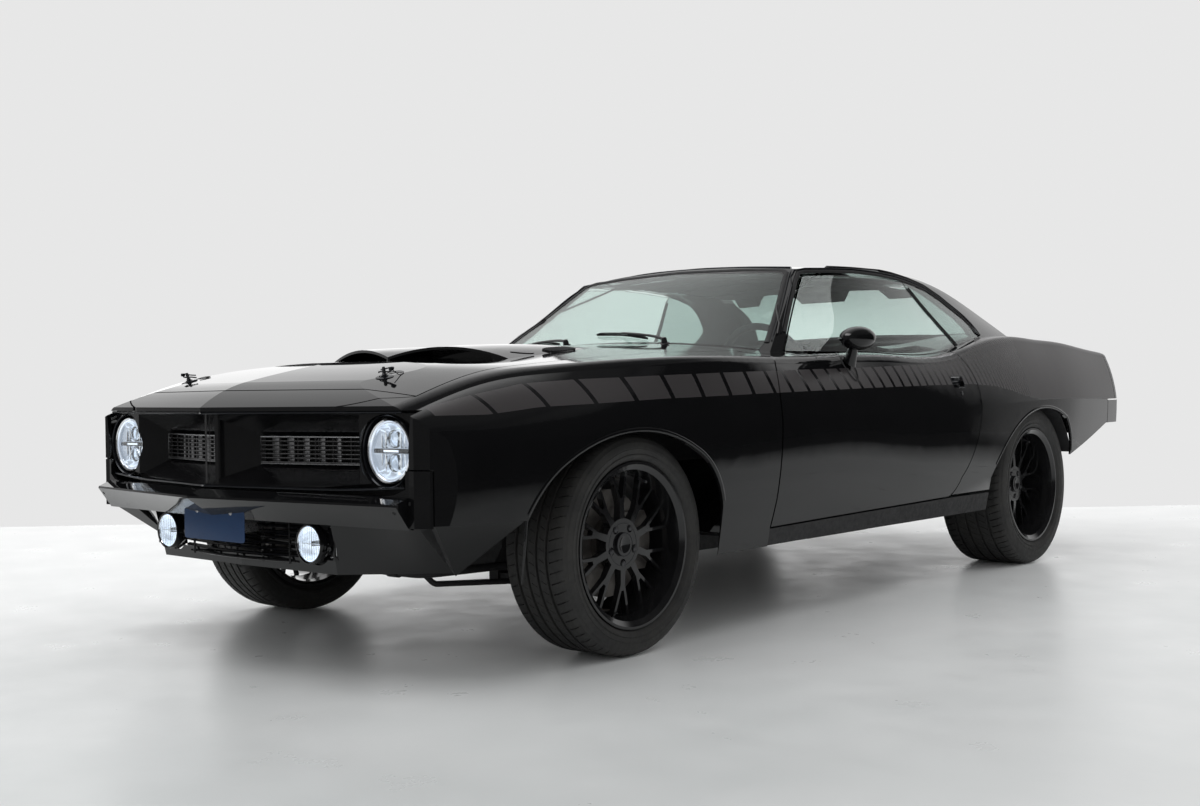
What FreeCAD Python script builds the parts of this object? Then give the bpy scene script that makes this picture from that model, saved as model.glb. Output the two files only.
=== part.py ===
import FreeCAD, Part
import math
import os

# A two-door hardtop muscle car of the 1970 pattern, in millimetres.
# +Z is up, the nose points to -Y, the driver's side (left) is +X.
# The origin is on the ground, midway along the car.

V = FreeCAD.Vector

# ---------------------------------------------------------------- driving dimensions
LENGTH = 4742.0
WHEELBASE = 2743.0
FRONT_AXLE_Y = -1414.0
REAR_AXLE_Y = FRONT_AXLE_Y + WHEELBASE
TAIL_Y = LENGTH / 2.0

PANEL = 12.0            # folded edge thickness of an outer panel
GAP = 5.0               # shut line of lids and doors
DOOR_FRONT_GAP = 7.0
DOOR_JAMB_GAP = 22.0    # the inner box of a door stands back from the jambs
DOOR_INNER_X = 800.0
SILL_INNER_X = 790.0
HOOD_HALF = 700.0
HOOD_GAP = 5.0

# front wheels: radius, width and track; rear wheels are wider and taller
FRONT_TYRE_R = 332.0
FRONT_TYRE_W = 245.0
FRONT_WHEEL_X = 768.0
REAR_TYRE_R = 350.0
REAR_TYRE_W = 295.0
REAR_WHEEL_X = 773.0
KINGPIN_X = 690.0

# ---------------------------------------------------------------- body stations
# y, then x and z of the lower edge, the side crease, the shoulder peak, z on the centre line,
# and how far the side bulges between crease and peak
STATIONS = [
    (-2371, 700, 270, 715, 640, 640, 690, 792, 24),
    (-2200, 775, 270, 792, 650, 718, 754, 836, 26),
    (-2050, 838, 270, 864, 656, 732, 803, 868, 28),
    (-1830, 888, 270, 916, 664, 764, 855, 896, 28),
    (-1620, 898, 270, 936, 670, 816, 874, 898, 19),
    (-1414, 905, 270, 943, 676, 866, 887, 912, 11),
    (-700, 905, 270, 950, 690, 885, 900, 966, 9),
    (150, 905, 270, 951, 698, 885, 909, 1000, 9),
    (650, 905, 270, 951, 706, 885, 924, 1020, 9),
    (1010, 905, 270, 951, 716, 868, 984, 1040, 9),
    (1335, 905, 270, 951, 724, 857, 1005, 1042, 9),
    (1760, 895, 270, 948, 725, 855, 990, 1024, 9),
    (2060, 876, 270, 932, 719, 853, 966, 994, 9),
    (2240, 861, 270, 918, 715, 851, 952, 976, 9),
    (2371, 850, 270, 905, 712, 850, 942, 962, 9),
]
LOWER_BULGE = 12.0
PEAK_ROUND = 26.0

# greenhouse levels: z, windshield corner x and y, windshield centre y,
# side x, backlight corner x and y, backlight centre y
LEVELS = [
    (880, 742, -505, -660, 842, 792, 1560, 1700),
    (1027, 662, -305, -425, 752, 722, 1453, 1575),
    (1105, 622, -200, -305, 698, 652, 1365, 1480),
    (1192, 580, -88, -175, 642, 604, 1180, 1290),
    (1253, 550, -6, -75, 604, 580, 935, 1040),
    (1340, 508, 111, 60, 548, 548, 480, 560),
]
LEVEL_SIDE_Y = 320.0
# roof crown: y, z at the drip rail, z on the centre line
CROWN = [
    (-260, 1212, 1250),
    (-20, 1246, 1284),
    (320, 1272, 1302),
    (700, 1268, 1300),
    (1000, 1254, 1286),
    (1700, 1200, 1232),
]
DRIP_X = 612.0
CROWN_HALF = 900.0
PILLAR = 42.0
GLASS = 6.0


# ---------------------------------------------------------------- small helpers
def line(a, b):
    return Part.LineSegment(a, b).toShape()


def arc(a, m, b):
    return Part.Arc(a, m, b).toShape()


def loft(wires, ruled=False):
    return Part.makeLoft(wires, True, ruled, False)


def box(x0, x1, y0, y1, z0, z1):
    return Part.makeBox(x1 - x0, y1 - y0, z1 - z0, V(x0, y0, z0))


def prism(points, direction):
    wire = Part.makePolygon(points + [points[0]])
    return Part.Face(wire).extrude(direction)


def side_prism(outline, x0, x1):
    return prism([V(x0, y, z) for y, z in outline], V(x1 - x0, 0, 0))


def plan_prism(outline, z0, z1):
    return prism([V(x, y, z0) for x, y in outline], V(0, 0, z1 - z0))


def front_prism(outline, y0, y1):
    return prism([V(x, y0, z) for x, z in outline], V(0, y1 - y0, 0))


def mirrored(shape):
    return shape.mirror(V(0, 0, 0), V(1, 0, 0))


def both(shape):
    return Part.makeCompound([shape, mirrored(shape)])


def cylinder(radius, length, start, axis):
    return Part.makeCylinder(radius, length, start, axis)


def fused(shapes):
    first = shapes[0]
    return first.fuse(shapes[1:]).removeSplitter() if len(shapes) > 1 else first


def tube_path(points, bend):
    """Straight runs joined by tangent arcs, as one wire."""
    edges = []
    last = points[0]
    for before, corner, after in zip(points, points[1:], points[2:]):
        u1 = (before - corner).normalize()
        u2 = (after - corner).normalize()
        half = u1.getAngle(u2) / 2.0
        reach = bend / math.tan(half)
        start = corner + u1 * reach
        end = corner + u2 * reach
        middle = corner + (u1 + u2).normalize() * (bend / math.sin(half) - bend)
        edges += [line(last, start), arc(start, middle, end)]
        last = end
    edges.append(line(last, points[-1]))
    return Part.Wire(edges)


def tube(points, radius, bend):
    path = tube_path(points, bend)
    direction = points[1] - points[0]
    ring = Part.Wire(Part.makeCircle(radius, points[0], direction))
    return path.makePipeShell([ring], True, False)


# ---------------------------------------------------------------- body envelope
def section_wire(station, inset=0.0, drop=0.0):
    """One cross-section of the lower body, both sides, shrunk by inset and open below by drop."""
    y, x_low, z_low, x_crease, z_crease, x_peak, z_peak, z_top, upper_bulge = station
    low = V(x_low - inset, y, z_low - drop)
    crease = V(x_crease - inset, y, z_crease)
    peak = V(x_peak - inset, y, z_peak - inset)
    top = V(0, y, z_top - inset)

    def bulged(a, b, bulge):
        out = V(b.z - a.z, 0, a.x - b.x).normalize()
        return (a + b) * 0.5 + out * bulge

    to_side = (crease - peak).normalize()
    to_top = V(-1, 0, 2.0 * (top.z - peak.z) / peak.x).normalize()
    half = to_side.getAngle(to_top) / 2.0
    side_end = peak + to_side * PEAK_ROUND
    top_end = peak + to_top * PEAK_ROUND
    reach = PEAK_ROUND * (1.0 - math.sin(half)) / math.cos(half)
    peak_middle = peak + (to_side + to_top).normalize() * reach

    def flip(p):
        return V(-p.x, p.y, p.z)

    lower_middle = bulged(low, crease, LOWER_BULGE)
    upper_middle = bulged(crease, side_end, upper_bulge)
    edges = [
        line(flip(low), low),
        arc(low, lower_middle, crease),
        arc(crease, upper_middle, side_end),
        arc(side_end, peak_middle, top_end),
        arc(top_end, top, flip(top_end)),
        arc(flip(top_end), flip(peak_middle), flip(side_end)),
        arc(flip(side_end), flip(upper_middle), flip(crease)),
        arc(flip(crease), flip(lower_middle), flip(low)),
    ]
    return Part.Wire(edges)


def body_solid(inset=0.0, drop=0.0, overrun=0.0):
    wires = []
    for index, station in enumerate(STATIONS):
        y = station[0]
        if index == 0:
            y -= overrun
        if index == len(STATIONS) - 1:
            y += overrun
        wires.append(section_wire((y,) + station[1:], inset, drop))
    return loft(wires)


# ---------------------------------------------------------------- greenhouse envelope
def level_wire(level, inset):
    z, x_front, y_front, y_front_mid, x_side, x_rear, y_rear, y_rear_mid = level
    front_in = inset * 1.7
    rear_in = inset * 2.0
    fx = x_front - inset * 0.9
    fy = y_front + front_in
    rx = x_rear - inset
    ry = y_rear - rear_in
    edges = [
        arc(V(-fx, fy, z), V(0, y_front_mid + front_in, z), V(fx, fy, z)),
        arc(V(fx, fy, z), V(x_side - inset, LEVEL_SIDE_Y, z), V(rx, ry, z)),
        arc(V(rx, ry, z), V(0, y_rear_mid - rear_in, z), V(-rx, ry, z)),
        arc(V(-rx, ry, z), V(inset - x_side, LEVEL_SIDE_Y, z), V(-fx, fy, z)),
    ]
    return Part.Wire(edges)


def crown_wire(row, drop):
    y, z_drip, z_mid = row
    z_edge = z_mid - (z_mid - z_drip) * (CROWN_HALF / DRIP_X) ** 2
    left = V(CROWN_HALF, y, z_edge - drop)
    right = V(-CROWN_HALF, y, z_edge - drop)
    low = 700.0
    edges = [
        line(V(-CROWN_HALF, y, low), V(CROWN_HALF, y, low)),
        line(V(CROWN_HALF, y, low), left),
        arc(left, V(0, y, z_mid - drop), right),
        line(right, V(-CROWN_HALF, y, low)),
    ]
    return Part.Wire(edges)


def greenhouse_solid(inset, drop):
    levels = loft([level_wire(level, inset) for level in LEVELS])
    ends = [(-900,) + CROWN[0][1:]] + CROWN[1:-1] + [(1900,) + CROWN[-1][1:]]
    crown = loft([crown_wire(row, drop) for row in ends])
    return levels.common(crown)


# ---------------------------------------------------------------- shared envelopes
# plan of the nose: a pointed grille frame between square fender tips
NOSE_PLAN = [(0, -2321), (745, -2182), (766, -2184), (806, -2162), (866, -2070)]
NOSE_WALL = 14.0
# height of the sheet metal behind the lip of the nose: distance back, z
LIP_RISE = [(0, 762), (70, 805), (150, 834), (290, 864), (430, 889)]
HOOD_FRONT = [(0, -2236), (HOOD_HALF, -2112)]
HOOD_REAR_Y = -652.0
TAIL_FACE_Y = 2330.0


OUTER = body_solid()
INNER = body_solid(PANEL, 60.0, 40.0)
SHELL = OUTER.cut(INNER)


def above_nose(drop):
    """Space over the sheet metal that climbs from the pointed lip, creased on the centre line."""
    (x0, y0), (x1, y1) = NOSE_PLAN[:2]
    along = V(x1 - x0, y1 - y0, 0).normalize()
    back = V(-along.y, along.x, 0)
    tip = V(x0, y0, 0) - along * 800

    def p(distance, z):
        return tip + back * distance + V(0, 0, z - drop)
    a, b, c, d, e = [p(*row) for row in LIP_RISE]
    edges = [
        line(p(-90, 712), a), arc(a, b, c), arc(c, d, e), line(e, p(560, 1200)),
        line(p(560, 1200), p(-90, 1200)), line(p(-90, 1200), p(-90, 712)),
    ]
    return Part.Face(Part.Wire(edges)).extrude(along * 1560)


def nose_cut(shape, drop=0.0):
    """Shape trimmed to the slope behind the lip."""
    tool = above_nose(drop)
    return shape.cut(tool).cut(mirrored(tool))


def nose_prism(set_back):
    """Everything behind the nose line, as one tall plan prism."""
    half = [(x, y + set_back) for x, y in NOSE_PLAN] + [(1200, NOSE_PLAN[-1][1] + set_back + 80)]
    outline = half + [(1200, 2600), (-1200, 2600)] + [(-x, y) for x, y in reversed(half[1:])]
    return plan_prism(outline, 100, 1500)


def side_face(edges):
    return Part.Face(Part.Wire(edges))


def door_face(grow=0.0):
    """Outline of the door skin in side view."""
    def p(y, z):
        return V(0, y, z)
    edges = [
        line(p(-632, 1100), p(-632, 932)),
        arc(p(-632, 932), p(-688, 832), p(-716, 700)),
        arc(p(-716, 700), p(-720, 560), p(-733, 423)),
        line(p(-733, 423), p(-752, 334)),
        line(p(-752, 334), p(505, 352)),
        arc(p(505, 352), p(556, 378), p(600, 425)),
        arc(p(600, 425), p(724, 588), p(750, 745)),
        arc(p(750, 745), p(722, 858), p(650, 935)),
        line(p(650, 935), p(650, 1100)),
        line(p(650, 1100), p(-632, 1100)),
    ]
    face = side_face(edges)
    return face.makeOffset2D(grow) if grow else face


def door_prism(grow=0.0, x0=700.0, x1=1000.0):
    face = door_face(grow)
    face.translate(V(x0, 0, 0))
    return face.extrude(V(x1 - x0, 0, 0))


def front_arch():
    def p(y, z):
        return V(560, y, z)
    edges = [
        line(p(-1900, 150), p(-1896, 441)),
        arc(p(-1896, 441), p(-1842, 523), p(-1747, 597)),
        arc(p(-1747, 597), p(-1463, 671), p(-1183, 604)),
        arc(p(-1183, 604), p(-1086, 525), p(-1040, 424)),
        line(p(-1040, 424), p(-1040, 150)),
        line(p(-1040, 150), p(-1900, 150)),
    ]
    return side_face(edges).extrude(V(500, 0, 0))


def rear_arch():
    def p(y, z):
        return V(590, y, z)
    edges = [
        line(p(852, 150), p(872, 408)),
        arc(p(872, 408), p(945, 490), p(1040, 574)),
        arc(p(1040, 574), p(1370, 687), p(1618, 638)),
        arc(p(1618, 638), p(1668, 572), p(1692, 470)),
        line(p(1692, 470), p(1696, 150)),
        line(p(1696, 150), p(852, 150)),
    ]
    return side_face(edges).extrude(V(500, 0, 0))


# ---------------------------------------------------------------- front sheet metal
def grille_opening(grow=0.0):
    outline = [(-757 - grow, 750 + grow), (757 + grow, 750 + grow),
               (733 + grow, 556 - grow), (350, 524 - grow), (0, 520 - grow),
               (-350, 524 - grow), (-733 - grow, 556 - grow)]
    return front_prism(outline, -2500, -2080)


def nose_shell():
    """Outer skin of everything ahead of the doors, with a front wall behind the nose line."""
    wall = nose_cut(INNER, PANEL).common(nose_prism(NOSE_WALL))
    return nose_cut(OUTER).common(nose_prism(0)).cut(wall)


SPLIT_Z = 445.0
BUMPER_END_X = 733.0
BUMPER_END_TOP = 590.0
# corners of the folded fender tip ahead of the wheel: nose, wheel side, lowest point, valance seam
TIP_NOSE = V(808, -2151, 447)
TIP_WHEEL = V(896, -1896, 447)
TIP_LOW = V(680, -1958, 284)
TIP_SEAM = V(704, -2106, 422)
TIP_WALL = V(-8, 10, 6)


def polyhedron(points, faces):
    sides = []
    for face in faces:
        loop = [points[i] for i in face]
        sides.append(Part.Face(Part.makePolygon(loop + loop[:1])))
    return Part.makeSolid(Part.makeShell(sides))


def fender_tip():
    points = [TIP_NOSE, TIP_WHEEL, TIP_LOW, TIP_SEAM, V(704, -2106, 447), V(680, -1958, 447)]
    faces = [(0, 2, 1), (0, 3, 2), (0, 4, 3), (0, 1, 5), (0, 5, 4), (1, 2, 5), (2, 3, 4), (2, 4, 5)]
    solid = polyhedron(points, faces)
    core = solid.copy()
    core.translate(TIP_WALL)
    return solid.cut(core)


def header_face(grow=0.0):
    """Plan of the panel ahead of the hood, narrowing to the lip between two curved seams."""
    def p(x, y):
        return V(x, y, 0)
    y_side = HOOD_FRONT[1][1] - HOOD_GAP
    y_mid = HOOD_FRONT[0][1] - HOOD_GAP
    edges = [
        line(p(-502, -2400), p(502, -2400)), line(p(502, -2400), p(502, -2227)),
        arc(p(502, -2227), p(594, -2188), p(HOOD_HALF, y_side)),
        line(p(HOOD_HALF, y_side), p(0, y_mid)), line(p(0, y_mid), p(-HOOD_HALF, y_side)),
        arc(p(-HOOD_HALF, y_side), p(-594, -2188), p(-502, -2227)),
        line(p(-502, -2227), p(-502, -2400)),
    ]
    face = side_face(edges)
    return face.makeOffset2D(grow) if grow else face


def header_prism(grow=0.0):
    return header_face(grow).extrude(V(0, 0, 1200))


def hood_prism(grow=0.0):
    x = HOOD_HALF + grow
    outline = [(0, HOOD_FRONT[0][1] - grow), (x, HOOD_FRONT[1][1] - grow),
               (x, HOOD_REAR_Y), (-x, HOOD_REAR_Y), (-x, HOOD_FRONT[1][1] - grow)]
    return plan_prism(outline, 700, 1100)


def left_front_fender():
    region = side_prism([(-2400, 1100), (-2400, SPLIT_Z), (-1900, SPLIT_Z), (-1900, 262),
                         (-757, 262), (-757, 334), (-600, 334), (-600, 1100)], 480, 1000)
    panel = nose_shell().common(region)
    panel = panel.cut(header_prism(4.0)).cut(hood_prism(HOOD_GAP))
    inner_side = box(400, HOOD_HALF + HOOD_GAP, -2110, -500, 200, 1200)
    front_face = box(400, 745, -2400, -2100, 200, 735)
    panel = panel.cut(inner_side).cut(front_face)
    panel = panel.cut(door_prism(DOOR_FRONT_GAP))
    panel = panel.cut(front_arch())
    panel = panel.cut(grille_opening())
    bumper_end = box(0, 1000, -2400, -2153, 200, BUMPER_END_TOP + 4)
    corner = box(700, 1000, -640, -500, 860, 1000)
    return panel.cut(bumper_end).cut(corner).fuse(fender_tip())


def header_panel():
    upper = box(-800, 800, -2400, -2000, 730, 1000)
    return nose_shell().common(header_prism()).common(upper).cut(grille_opening())


HOOD_THICK = 24.0
# twin hood scoops: y, z on the centre line, at the crown and at the outer end
SCOOP_SECTIONS = [
    (-1640, 912, 937, 896),
    (-1250, 934, 956, 905),
    (-790, 944, 948, 926),
]
SCOOP_CROWN_X = 200.0
SCOOP_END_X = 442.0
SCOOP_MOUTH = [(0, -1610), (SCOOP_END_X, -1492)]
SCOOP_WALL = 9.0


def scoop_block(lower):
    wires = []
    for y, z_mid, z_crown, z_end in SCOOP_SECTIONS:
        a, b = V(0, y, 860), V(SCOOP_END_X, y, 860)
        c, d = V(SCOOP_END_X, y, z_end - lower), V(0, y, z_mid - lower)
        crown = V(SCOOP_CROWN_X, y, z_crown - lower)
        wires.append(Part.Wire([line(a, b), line(b, c), arc(c, crown, d), line(d, a)]))
    return loft(wires)


def left_scoop():
    """Raised intake with a swept mouth, meeting its mirror image on the centre line."""
    (x0, y0), (x1, y1) = SCOOP_MOUTH
    block = scoop_block(0.0).common(plan_prism([(x0, y0), (x1, y1), (x1, -780), (x0, -780)], 850, 1000))
    throat = scoop_block(SCOOP_WALL).common(plan_prism([(x0 + 8, y0 - 10), (x1 - 60, y1 - 24),
                                                        (x1 - 60, y1 + 90), (x0 + 8, y0 + 130)], 850, 1000))
    return block.cut(throat.cut(OUTER))


def hood_panel():
    deep = nose_cut(body_solid(HOOD_THICK, 60.0, 40.0), HOOD_THICK)
    panel = nose_cut(OUTER).common(hood_prism()).cut(deep)
    scoop = left_scoop().cut(deep)
    return panel.fuse([scoop, mirrored(scoop)])


# the valance under the bumper: half plan of its top and bottom edges, and the cooling opening
VALANCE_TOP = [(0, -2208), (439, -2203), (702, -2106)]
VALANCE_TOP_Z = 440.0
VALANCE_LOW = [(0, -2186), (430, -2172), (678, -1958)]
VALANCE_LOW_Z = 292.0
VALANCE_WALL = 12.0
INTAKE = [(-439, 436), (439, 436), (439, 332), (-439, 332)]


def valance_block(set_back):
    wires = []
    for half, z in ((VALANCE_TOP, VALANCE_TOP_Z), (VALANCE_LOW, VALANCE_LOW_Z)):
        inset = [(max(0, x - set_back * 0.8), y + set_back) for x, y in half]
        left = [V(x, y, z) for x, y in inset] + [V(inset[-1][0], -1940, z)]
        right = [V(-v.x, v.y, v.z) for v in reversed(left[1:])]
        wires.append(Part.makePolygon(left + right + left[:1]))
    return loft(wires, True)


def front_valance():
    shell = valance_block(0).cut(valance_block(VALANCE_WALL))
    shell = shell.cut(front_prism(INTAKE, -2500, -2120))
    bars = [box(-437, 437, -2190, -2180, z, z + 5) for z in (352, 372, 392, 412)]
    posts = [box(x - 3, x + 3, -2190, -2178, 332, 436) for x in (-438, -150, 150, 438)]
    bars = fused(bars + posts)
    valance = fused([shell, bars])
    for side in (1, -1):
        valance = valance.cut(cylinder(63, 200, V(side * 355, -2300, 377), V(0, 1, 0)))
    return valance


# the blade bumper: its knife edge in plan, and the section at the centre and at the ends
BUMPER_PLAN = [(0, -2371), (742, -2226)]
# front view of the gusset that rounds the lower corner of the grille opening
LOOP_CORNER = [(757, 589), (751, 566), (732, 541), (700, 526), (650, 520), (650, 512), (757, 512)]


def front_bumper():
    """A pointed wedge under the grille whose ends turn up the fender tips."""
    wires = []
    for (x, y), z_knife, back in zip(BUMPER_PLAN, (509, 503), (112, 62)):
        wires.append(Part.makePolygon([
            V(x, y + 2, z_knife), V(x, y + 46, z_knife + 18), V(x, y + back, z_knife + 18),
            V(x, y + back, z_knife - 70), V(x, y + back - 16, z_knife - 70), V(x, y, z_knife - 6),
            V(x, y + 2, z_knife)]))
    blade = loft(wires, True)
    end = nose_shell().common(box(BUMPER_END_X, 830, -2400, -2156, SPLIT_Z - 6, BUMPER_END_TOP))
    corner = front_prism(LOOP_CORNER, -2400, -2100)
    corner = corner.common(nose_prism(0).cut(nose_prism(NOSE_WALL)))
    half = blade.fuse([end, corner])
    return half.fuse(mirrored(half)).removeSplitter()


# round lamps: x, front y, z, lens radius, rim depth, shell end radius, shell depth
LAMPS = [
    (646, -2166, 640, 91, 22, 45, 60),
    (355, -2215, 377, 57.5, 26, 30, 40),
]


def front_lamps():
    lamps = []
    for x, y, z, radius, rim, end_radius, depth in LAMPS:
        for side in (1, -1):
            start = V(side * x, y, z)
            bowl = cylinder(radius, rim, start, V(0, 1, 0))
            shell = Part.makeCone(radius - 5, end_radius, depth, start + V(0, rim, 0), V(0, 1, 0))
            lamps.append(bowl.fuse(shell))
    return Part.makeCompound(lamps)


# one half of the grille: the funnel from its mouth to the inner frame, as depth behind the nose, x, z
FUNNEL_MOUTH = [(20, -30, 746), (20, 560, 746), (20, 560, 538), (20, -30, 538)]
FUNNEL_FRAME = [(122, 112, 676), (122, 482, 676), (122, 482, 596), (122, 112, 596)]
GRILLE_BACK = 128
GRILLE_BARS = 7
GRILLE_POSTS = [175, 240, 305, 370, 435]


def behind_nose(row):
    depth, x, z = row
    (x0, y0), (x1, y1) = NOSE_PLAN[:2]
    return V(x, y0 + (y1 - y0) * abs(x) / x1 + depth, z)


def funnel():
    points = [behind_nose(row) for row in FUNNEL_MOUTH + FUNNEL_FRAME]
    faces = [(0, 1, 2), (0, 2, 3), (4, 6, 5), (4, 7, 6)]
    for a, b in ((0, 1), (1, 2), (2, 3), (3, 0)):
        faces += [(a, a + 4, b), (b, a + 4, b + 4)]
    return polyhedron(points, faces)


def grille():
    """Deep moulded grille: two tapering tunnels either side of a prow, each ending in a barred frame."""
    body = nose_prism(30).cut(nose_prism(GRILLE_BACK)).common(grille_opening(-8))
    body = body.common(box(-760, 760, -2400, -2102, 532, 752))
    bars = nose_prism(110).cut(nose_prism(120)).common(box(-486, 486, -2400, -2090, 590, 682))
    rows = [box(-486, 486, -2400, -2090, 598 + 12.2 * k, 602 + 12.2 * k) for k in range(GRILLE_BARS)]
    bars = bars.common(fused(rows))
    posts = []
    for side in (1, -1):
        tunnel = funnel() if side > 0 else mirrored(funnel())
        x0, x1 = sorted((side * 114, side * 480))
        body = body.cut(tunnel).cut(box(x0, x1, -2400, -2000, 598, 674))
        body = body.cut(cylinder(101, 200, V(side * 646, -2300, 640), V(0, 1, 0)))
        bars = bars.cut(box(*sorted((side * 0.0, side * 108)), -2400, -2000, 500, 800))
        for x in GRILLE_POSTS:
            y = behind_nose((119, x, 0)).y
            posts.append(box(side * x - 3, side * x + 3, y, y + 6, 594, 678))
    return fused([body, bars] + posts)


# ---------------------------------------------------------------- doors and rear sheet metal
# side view of the pocket behind the handle flap
HANDLE_POCKET = [(536, 790), (532, 822), (538, 829), (618, 831),
                 (626, 826), (630, 796), (624, 789), (542, 784)]


def left_door():
    solid = OUTER.common(door_prism(0, DOOR_INNER_X))
    jamb = door_prism(12, DOOR_INNER_X - 5).cut(door_prism(-DOOR_JAMB_GAP, DOOR_INNER_X - 10, 1010))
    jamb = jamb.fuse(box(DOOR_INNER_X - 10, 1000, -800, -628, 300, 1100))
    below_belt = box(700, 1010, -900, 900, 200, 880)
    return solid.cut(INNER.common(jamb).common(below_belt)).cut(side_prism(HANDLE_POCKET, 916, 1000))


TRUNK_HALF = 640.0
TRUNK_FRONT_Y = 1625.0
TRUNK_REAR_Y = 2286.0


def left_quarter_panel():
    region = side_prism([(430, 1200), (430, 262), (870, 262), (1600, 262), (1690, 468), (1871, 518),
                         (2147, 598), (2178, 606), (2178, 718), (2296, 718), (2300, 1200)], 600, 1000)
    skin = SHELL.common(region)
    skin = skin.cut(box(-1000, TRUNK_HALF + GAP, 0, 2400, 200, 1200))
    skin = skin.cut(door_prism(GAP))
    skin = skin.cut(rear_arch())
    sill = box(600, 1000, 300, 868, 200, 357)
    return skin.cut(sill)


def rear_deck():
    """Panel under and behind the rear window, up to the trunk lid."""
    x = TRUNK_HALF + GAP - 0.5
    return SHELL.common(box(-x, x, 1405, TRUNK_FRONT_Y - GAP, 860, 1200))


def trunk_lid():
    deep = body_solid(26.0, 60.0, 40.0)
    x = TRUNK_HALF
    outline = [(-x, TRUNK_FRONT_Y), (x, TRUNK_FRONT_Y), (x, TRUNK_REAR_Y), (-x, TRUNK_REAR_Y)]
    return OUTER.cut(deep).common(plan_prism(outline, 800, 1100))


def tail_panel():
    face = OUTER.common(box(-1000, 1000, TAIL_FACE_Y - 28, TAIL_FACE_Y, 718, 1100))
    for side in (1, -1):
        x0, x1 = sorted((side * 250, side * 770))
        face = face.cut(box(x0, x1, TAIL_FACE_Y - 16, TAIL_FACE_Y + 10, 742, 862))
    return face


def tail_lamps():
    lamps = []
    for side in (1, -1):
        x0, x1 = sorted((side * 254, side * 766))
        lamps.append(box(x0, x1, TAIL_FACE_Y - 16, TAIL_FACE_Y - 2, 746, 858))
    return Part.makeCompound(lamps)


def rear_bumper():
    """Body-coloured blade with wrapped corners, its bar, and the closing panel under it."""
    blade = OUTER.common(box(-1000, 1000, 2184, 2332, 602, 712))
    core = INNER.common(box(-1000, 1000, 2000, 2300, 500, 800))
    bar = box(-860, 860, 2332, TAIL_Y, 616, 706)
    pan = box(-690, 690, 2302, 2326, 545, 606)
    return blade.cut(core).fuse(bar).fuse(pan).removeSplitter()


# ---------------------------------------------------------------- greenhouse
ROOF_OUTER = greenhouse_solid(0.0, 0.0)
ROOF_INNER = greenhouse_solid(PILLAR, PILLAR - 8.0)
GLASS_INNER = greenhouse_solid(GLASS, GLASS)


def windshield_opening(shrink=0.0):
    s = shrink
    outline = [(-672 + s, 850), (-672 + s, 955), (-514 + s, 1236), (-480 + s, 1247 - s),
               (0, 1266 - s), (480 - s, 1247 - s), (514 - s, 1236), (672 - s, 955), (672 - s, 850)]
    return front_prism(outline, -760, 90)


def backlight_opening(shrink=0.0):
    s = shrink
    outline = [(-640 + s, 1034 + s), (-545 + s, 1215), (-515 + s, 1238 - s), (0, 1252 - s),
               (515 - s, 1238 - s), (545 - s, 1215), (640 - s, 1034 + s)]
    return front_prism(outline, 820, 1800)


def side_opening(shrink=0.0):
    """Daylight of the door glass and quarter glass in side view, open below the belt."""
    s = shrink

    def p(y, z):
        return V(380, y, z)
    edges = [
        line(p(-470 + s, 700), p(-380 + s, 925)),
        line(p(-380 + s, 925), p(-8 + s, 1236 - s)),
        arc(p(-8 + s, 1236 - s), p(330, 1252 - s), p(640, 1240 - s)),
        arc(p(640, 1240 - s), p(872, 1200 - s), p(1056 - s, 1098)),
        arc(p(1056 - s, 1098), p(1082 - s, 1060), p(1070 - s, 1020)),
        line(p(1070 - s, 1020), p(1070 - s, 700)),
        line(p(1070 - s, 700), p(-470 + s, 700)),
    ]
    return side_face(edges).extrude(V(560, 0, 0))


DIVIDER = [(686, 1300), (686, 1212), (778, 953), (860, 700)]
GLASS_GAP = 8.0


def roof():
    shell = ROOF_OUTER.cut(ROOF_INNER)
    shell = shell.cut(OUTER)
    shell = shell.cut(windshield_opening()).cut(backlight_opening())
    side = side_opening()
    shell = shell.cut(side).cut(mirrored(side))
    return shell


def glass_shell():
    return ROOF_OUTER.cut(GLASS_INNER).cut(OUTER)


def windshield(shell):
    return shell.common(windshield_opening(1.0))


def rear_window(shell):
    return shell.common(backlight_opening(1.0))


def door_glass(shell):
    front = side_prism([(-700, 700), (-700, 1400)] + [(y - GLASS_GAP / 2, z) for y, z in DIVIDER], 380, 940)
    pane = shell.common(side_opening(GLASS_GAP)).common(front)
    return pane.common(box(380, 940, -372, 900, 880, 1300))


def quarter_glass(shell):
    rear = side_prism([(1300, 700), (1300, 1400)] + [(y + GLASS_GAP / 2, z) for y, z in DIVIDER], 380, 940)
    pane = shell.common(side_opening(2.0)).common(rear)
    return pane


# ---------------------------------------------------------------- floor and inner structure
FLOOR_Z = 275.0
FLOOR_T = 10.0
TUNNEL_HALF = 112.0
TUNNEL_TOP = 510.0
REAR_FLOOR = [(850, 275), (1080, 520), (1620, 520), (1700, 560), (2296, 560), (2296, 570),
              (1695, 570), (1615, 530), (1075, 530), (840, 285)]


def tunnel_arch(y0, y1):
    """The sheet over the drive shaft, from its feet on the floor."""
    def p(x, z):
        return V(x, y0, z)
    outer, inner = TUNNEL_HALF, TUNNEL_HALF - FLOOR_T
    z = FLOOR_Z
    edges = [
        line(p(-outer, z), p(-outer, z + 90)),
        arc(p(-outer, z + 90), p(0, TUNNEL_TOP + FLOOR_T), p(outer, z + 90)),
        line(p(outer, z + 90), p(outer, z)), line(p(outer, z), p(inner, z)),
        line(p(inner, z), p(inner, z + 90)),
        arc(p(inner, z + 90), p(0, TUNNEL_TOP), p(-inner, z + 90)),
        line(p(-inner, z + 90), p(-inner, z)), line(p(-inner, z), p(-outer, z)),
    ]
    return Part.Face(Part.Wire(edges)).extrude(V(0, y1 - y0, 0))


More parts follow.
